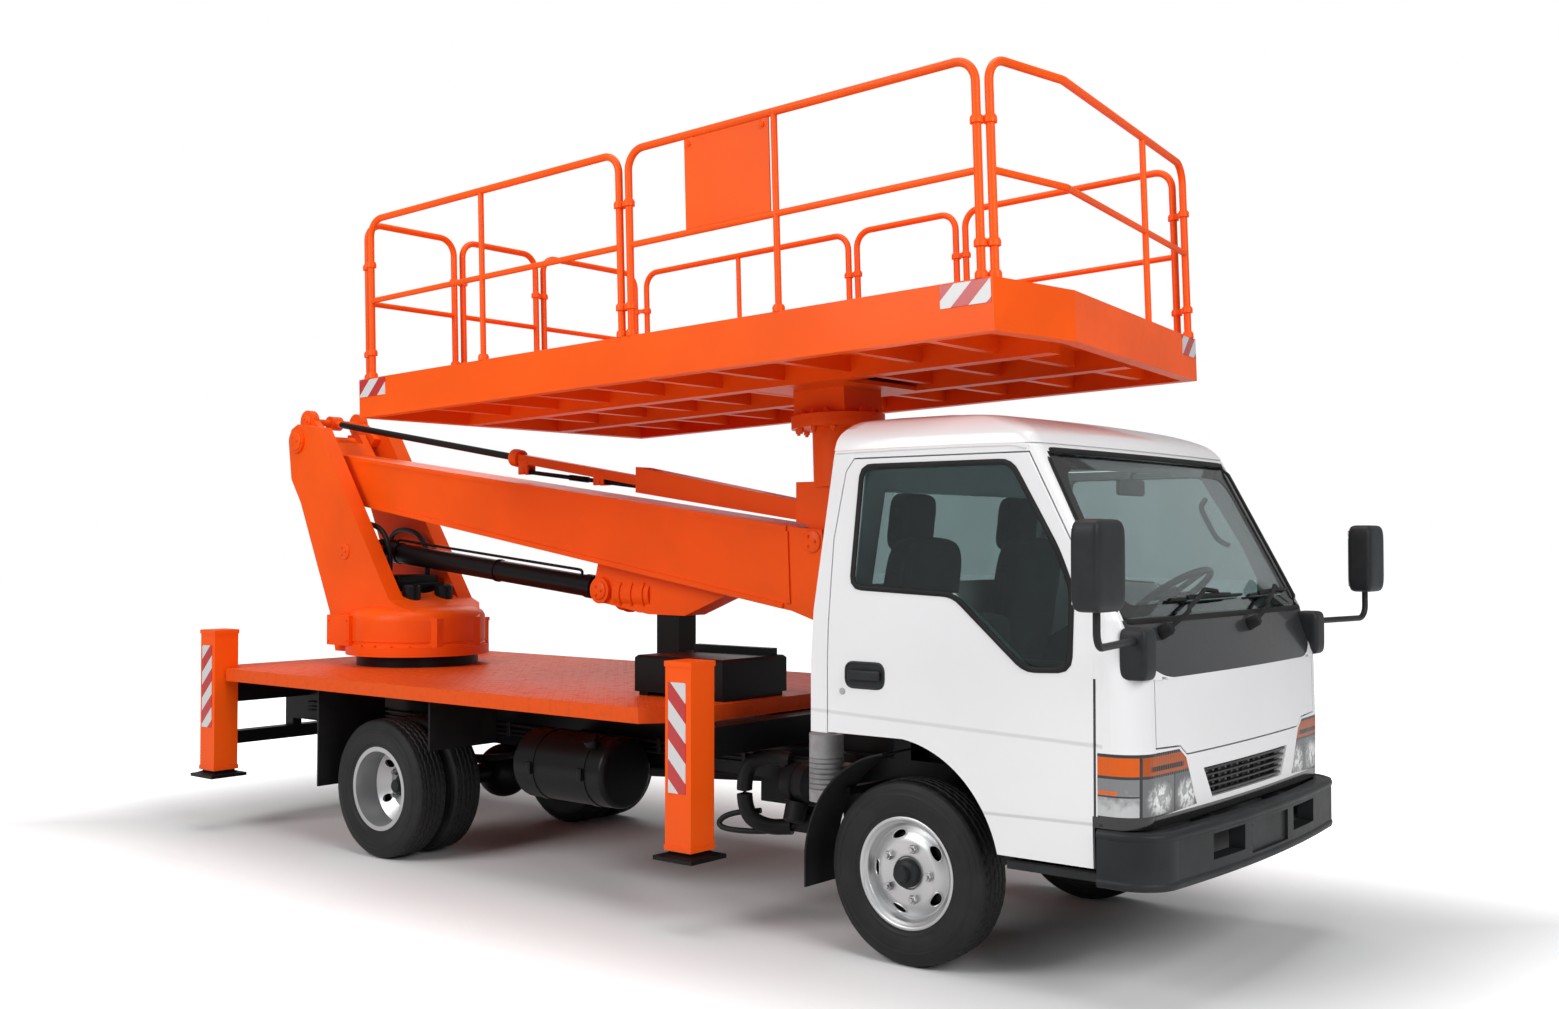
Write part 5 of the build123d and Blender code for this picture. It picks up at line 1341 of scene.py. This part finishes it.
hoses = [pipe([at(*p) for p in path], r, (0, 1, 0)) for path, r in zip(HOSE_PATHS, HOSE_RADII)]
piece("turret_hoses", hoses, hose_rubber, "turret")
print("pipe, valves and hoses made")


# %% [markdown]
# ## Guard rail fittings
# Neighbouring hoops are clipped together, and each post stands in a collar on the toe board. The
# points are drawn on a level platform and then tipped with it, as the stripe plates were.

# %% Rail collars, clips and sign bolts
RAIL_Y, REAR_X = 1.03, -3.25
FOOT_Z, CLIP_HEIGHTS = 2.6, (2.72, 3.18)
POSTS = [(x, -RAIL_Y) for x in (-3.18, -2.302, -1.36, -1.30, -0.463, 0.50)]
POSTS += [(x, RAIL_Y) for x in (-3.18, -2.422, -1.61, -1.55, -0.90, -0.84, 0.33)]
POSTS += [(REAR_X, y) for y in (-1.0, -0.43, -0.37, 0.17, 0.23, 1.0)]
POSTS += [(0.54, -1.0), (0.40, 0.99)]
CLIPPED = ((2, 3), (5, 19), (0, 13), (8, 9), (10, 11), (12, 20), (6, 18), (14, 15), (16, 17))
COLLAR = [(0.016, 0.0), (0.026, 0.0), (0.026, 0.02), (0.021, 0.03), (0.016, 0.03)]
SIGN_BOLTS, SIGN_Z = (-0.93, -0.52), 3.385
fittings = [turned(COLLAR, at(x, y, FOOT_Z), (0, 0, 1), 20) for x, y in POSTS]
for first, second in CLIPPED:
    start, end = POSTS[first], POSTS[second]
    for height in CLIP_HEIGHTS:
        fittings += [turned(COLLAR, at(x, y, height), (0, 0, 1), 20) for x, y in (start, end)]
        fittings.append(bar(at(*start, height + 0.015), at(*end, height + 0.015), 0.016, 0.024))
for x in SIGN_BOLTS:
    fittings += bolts(at(x, -RAIL_Y - 0.003, SIGN_Z), (0, -1, 0), 0.0, 1, 0.011, 0.01)
    fittings.append(block(at(x - 0.02, -RAIL_Y - 0.004, 3.365), at(x + 0.02, -RAIL_Y + 0.004, 3.43), 0.003))
piece("rail_fittings", on_platform(fittings), orange_paint, "platform")
print("rail fittings:", len(fittings))


# %% [markdown]
# ## Chassis fittings
# Straps with buckles hold the fuel tank, and its filler stands out at a slant. Ribs keep a boot from
# slipping on the step. A texture could show the ribs, but raised ones catch the light at the edge.

# %% Tank straps and step tread
tank_low, tank_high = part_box("fuel_tank")
tank_radius = (tank_high[2] - tank_low[2]) / 2
tank_y, tank_z = tank_low[1] + tank_radius, tank_low[2] + tank_radius
inner, outer, half = tank_radius - 0.001, tank_radius + 0.004, 0.022
STRAP = [(inner, -half), (outer, -half), (outer, half), (inner, half)]
FILLER = [(0.0, 0.05), (0.032, 0.05), (0.036, 0.044), (0.036, 0.02), (0.028, 0.018), (0.028, -0.03)]
FILLER += [(0.0, -0.03)]
FILLER_AXIS = np.array([0.0, -0.64, 0.77])
straps = []
for share in (0.22, 0.78):
    x = tank_low[0] + share * (tank_high[0] - tank_low[0])
    straps.append(turned(STRAP, (x, tank_y, tank_z), (1, 0, 0), 48))
    buckle_low = np.array([x - 0.016, tank_y - tank_radius - 0.016, tank_z - 0.03])
    straps.append(block(buckle_low, buckle_low + np.array([0.032, 0.02, 0.06]), 0.004))
neck = np.array([tank_high[0] - 0.11, tank_y, tank_z]) + FILLER_AXIS * tank_radius
straps.append(turned(FILLER, neck, FILLER_AXIS, 24))
piece("tank_straps", straps, black_paint, "chassis")

STEP_TOP = 0.49
tread = []
for sign in (-1, 1):
    spans = [(x - 0.005, x + 0.005, sign * 0.66, sign * 0.85, 0.004) for x in np.linspace(0.51, 0.83, 17)]
    spans += [(0.49, 0.85, sign * y - 0.004, sign * y + 0.004, 0.006) for y in (0.648, 0.853)]
    for back, front, near, far, rise in spans:
        low, high = at(back, near, STEP_TOP - 0.003), at(front, far, STEP_TOP + rise)
        tread.append(block(low, high, 0.002, 3))
piece("step_tread", tread, rubber, "chassis")
print("tank straps and", len(tread), "ribs made")


# %% [markdown]
# Behind the front wheel an elbow pipe, a loop of hose, a pump with its filter and two brackets fill the
# gap beside the engine. Further back three lines run along each rail, held by clips at even distances.

# %% Engine side and lines on the frame
ELBOW = ((-0.86, -0.47, 0.70), (-0.98, -0.50, 0.71), (-1.09, -0.52, 0.66))
ELBOW += ((-1.09, -0.52, 0.44), (-0.98, -0.50, 0.39), (-0.86, -0.46, 0.40))
LOOP = ((-0.80, -0.44, 0.42), (-0.95, -0.50, 0.37), (-1.20, -0.52, 0.355))
LOOP += ((-1.26, -0.52, 0.38), (-1.20, -0.50, 0.43), (-1.05, -0.45, 0.45))
PUMP = [
    (0.0, -0.10), (0.05, -0.10), (0.06, -0.08), (0.085, -0.075), (0.09, -0.02), (0.08, -0.01),
    (0.09, 0.0), (0.09, 0.05), (0.07, 0.07), (0.05, 0.10), (0.0, 0.10),
]
FILTER = [(0.0, 0.09), (0.04, 0.09), (0.05, 0.08), (0.05, 0.0), (0.0, 0.0)]
RAIL_LINES = ((0.70, 0.008), (0.672, 0.006), (0.65, 0.006))
RAIL_OUT, SAG = 0.386, 0.004
engine_side = [pipe([at(*p) for p in path], radius) for path, radius in ((ELBOW, 0.036), (LOOP, 0.013))]
engine_side.append(turned(PUMP, at(-0.80, -0.455, 0.60), (1, 0, 0), 28))
engine_side.append(turned(FILTER, at(-0.80, -0.50, 0.52), (0, -0.3, -1), 24))
engine_side.append(block(at(-0.92, -0.46, 0.62), at(-0.70, -0.376, 0.70), 0.008))
engine_side.append(block(at(-0.90, -0.47, 0.38), at(-0.74, -0.30, 0.47), 0.01))
piece("engine_side_fittings", engine_side, hose_rubber, "chassis")

frame_lines = []
for z, radius in RAIL_LINES:
    for sign in (-1, 1):
        path = [(-4.7, z), (-2.6, z), (-2.5, z - SAG), (-0.8, z)]
        frame_lines.append(pipe([at(x, sign * RAIL_OUT, height) for x, height in path], radius))
for x in np.arange(-4.5, -0.8, 0.55):
    for sign in (-1, 1):
        frame_lines.append(block(at(x - 0.012, sign * 0.376, 0.64), at(x + 0.012, sign * 0.40, 0.715), 0.004))
piece("frame_lines", frame_lines, hose_rubber, "chassis")
print("engine side and frame lines made")


# %% [markdown]
# ## Cab trim
# The gutter above the door is a small profile carried along the roof's edge. The black border printed
# round the windscreen is a ring between two rounded outlines, laid on the glass in five rows.

# %% Gutters and screen border
GUTTER = [(-0.007, -0.004), (0.007, -0.004), (0.007, 0.004), (0.003, 0.008), (-0.003, 0.008), (-0.007, 0.004)]
GUTTER_LINE = np.array([(-0.30, 2.043), (0.0, 2.046), (0.3, 2.047), (0.52, 2.045), (0.585, 2.030)])
BORDER_OUTER = [(-0.845, 1.405), (0.845, 1.405), (0.805, 2.012), (-0.805, 2.012)]
BORDER_INNER = [(-0.785, 1.447), (0.785, 1.447), (0.740, 1.955), (-0.740, 1.955)]
shell_tree = ray_tree("cab_shell")
x = np.linspace(GUTTER_LINE[0, 0], GUTTER_LINE[-1, 0], 40)
gutter_line = np.column_stack([x, np.interp(x, *GUTTER_LINE.T)])
for side, sign in SIDES:
    gutter = [carried(onto_side(shell_tree, gutter_line, sign), GUTTER, (0, sign, 0))]
    piece("roof_gutter_" + side, gutter, white_paint, "chassis")

share = np.linspace(0, 1, 5)[:, None, None]
border = rounded(BORDER_OUTER, 0.05, 14) * (1 - share) + rounded(BORDER_INNER, 0.09, 14) * share
border = onto_front(ray_tree("cab_glass"), border.reshape(-1, 2)) + 0.0015 * SCREEN_OUT
border = surface(border.reshape(len(share), -1, 3), wrap_columns=True)
piece("windscreen_band", [border], printed_black, "chassis")
print("gutters and screen border made")


# %% [markdown]
# The CAD roof is lofted straight from section to section, which shows as flat bands. A skin 2 mm outside
# it has the same sections, joined by cubic curves, so the roof shines as one curved sheet.

# %% Roof skin
ROOF_ROWS = np.array([
    (2.000, 0.8677, -0.3195, 0.5813, 0.6432, 0.050, 0.6709),
    (2.048, 0.8640, -0.3125, 0.5540, 0.6160, 0.052, 0.6450),
    (2.105, 0.846, -0.302, 0.500, 0.565, 0.070, 0.600),
    (2.155, 0.790, -0.268, 0.360, 0.440, 0.110, 0.478),
    (2.185, 0.650, -0.185, 0.120, 0.200, 0.140, 0.240),
    (2.194, 0.300, 0.000, 0.020, 0.060, 0.080, 0.080),
    (2.195, 0.004, 0.044, 0.045, 0.046, 0.002, 0.047),
])
SKIN = np.array([0.002, 0.002, -0.002, 0.002, 0.002, 0.0, 0.002])
ROOF_STEPS = 8


def smooth_rows(rows, steps):
    """Cubic curves through the rows: at each row the slope is that of the chord past it."""
    run = running_length(rows[:, :2])
    slope = np.gradient(rows, run, axis=0)
    t = np.linspace(0, 1, steps, endpoint=False)[None, :, None]
    gap = np.diff(run)[:, None, None]
    first, last = rows[:-1, None], rows[1:, None]
    go, stop = slope[:-1, None] * gap, slope[1:, None] * gap
    curve = first * (1 + 2 * t) * (1 - t) ** 2 + go * t * (1 - t) ** 2
    curve = curve + last * t**2 * (3 - 2 * t) + stop * t**2 * (t - 1)
    return np.vstack([curve.reshape(-1, rows.shape[1]), rows[-1:]])


def plan_outline(row):
    """One plan section: straight sides, a quarter of an ellipse at each front corner, a bowed front."""
    z, half, back, side, corner, width, front = row
    quarter = np.linspace(0, np.pi / 2, 9)
    k = half - width
    flank = np.column_stack([np.linspace(back, side, 14), np.full(14, -half)])
    bend = np.column_stack([side + (corner - side) * np.sin(quarter), -half + width * (1 - np.cos(quarter))])
    y = np.linspace(-k, 0, 13)
    bow = np.column_stack([front - (front - corner) * (y / k) ** 2, y])
    right = np.vstack([flank, bend[1:], bow[1:]])
    loop = np.vstack([right, right[-2::-1] * [1, -1]])
    return np.column_stack([loop[:, 0] + AXLE_X, loop[:, 1], np.full(len(loop), z)])


above_gutter = smooth_rows(ROOF_ROWS, ROOF_STEPS)[ROOF_STEPS:] + SKIN
roof = surface(np.stack([plan_outline(row) for row in above_gutter]), wrap_columns=True)
piece("roof_skin", [roof], white_paint, "chassis", smooth=60)
print("roof rows:", len(above_gutter))


# %% [markdown]
# The bumper's edges are sharp in CAD, so a round bead is carried along its plan outline, top and bottom.
# The white panel reaches up into the lower corners of the black cowl: each corner is a patch between the
# cowl's edge and an arc, dropped onto the front of the cab.

# %% Bumper edges and cowl corners
BUMPER_PLAN = (0.892, 0.878, 0.972, 1.109, 0.150, 1.147)
BUMPER_EDGES, BEAD = (0.640, 0.470), 0.0195
COWL_EDGE = np.array([(0.853, 1.365), (0.822, 1.215), (0.776, 1.184), (0.60, 1.184)])
COWL_ARC = ((0.851, 1.355), (0.800, 1.188), (0.61, 1.188))
rolled = [carried(plan_outline((z, *BUMPER_PLAN)), round_profile(BEAD, 16), (0, 0, 1)) for z in BUMPER_EDGES]
piece("bumper_edges", rolled, dark_plastic, "chassis", smooth=60)

t = np.linspace(0, 1, 20)[:, None]
patch = (spread(COWL_EDGE, len(t)) * (1 - share) + arc(t, *np.array(COWL_ARC)) * share).reshape(-1, 2)
patches = []
for sign in (-1, 1):
    fill = onto_front(front_tree, patch * [sign, 1]) + [0.003, 0, 0]
    patches.append(surface(fill.reshape(len(share), len(t), 3)))
piece("cowl_corners", patches, white_paint, "chassis", smooth=60)
print("bumper edges and cowl corners made")


# %% [markdown]
# The outside mirrors have soft-edged shells, for which the cushion's superellipsoid serves again, without
# grooves. Inside, a mirror hangs from the header on a bent stem, and a grab handle is on the far pillar.

# %% Mirror shells and cabin fittings
HEAD_HALF, POD_HALF = (0.054, 0.106, 0.158), (0.053, 0.053, 0.097)
STEM = ((0.57, 0, 1.93), (0.575, 0, 1.955), (0.60, 0, 1.975), (0.615, 0, 1.99))
GRAB = ((0.67, 0.775, 1.66), (0.63, 0.735, 1.685), (0.59, 0.735, 1.76))
GRAB += ((0.55, 0.735, 1.835), (0.56, 0.775, 1.87))
for side, sign in SIDES:
    head = cushion(at(1.102, sign * MIRROR_Y, MIRROR_LOW + 0.145), HEAD_HALF, 0.0, 0, power=0.3)
    pod = cushion(at(1.010, sign * 0.84, 1.2825), POD_HALF, 0.0, 0, power=0.34)
    piece("mirror_shell_" + side, [head, pod], dark_plastic, "chassis", smooth=60)
mirror_body = block(at(0.555, -0.11, 1.868), at(0.585, 0.11, 1.935), 0.012, 5)
mirror_stem = pipe([at(*p) for p in STEM], 0.009, (0, 1, 0))
piece("inner_mirror", [mirror_body, mirror_stem], cabin_plastic, "chassis")
grab_handle = pipe([at(*p) for p in GRAB], 0.012, (0, 1, 0))
piece("grab_handle", [grab_handle], cabin_plastic, "chassis")
print("cab fittings made")
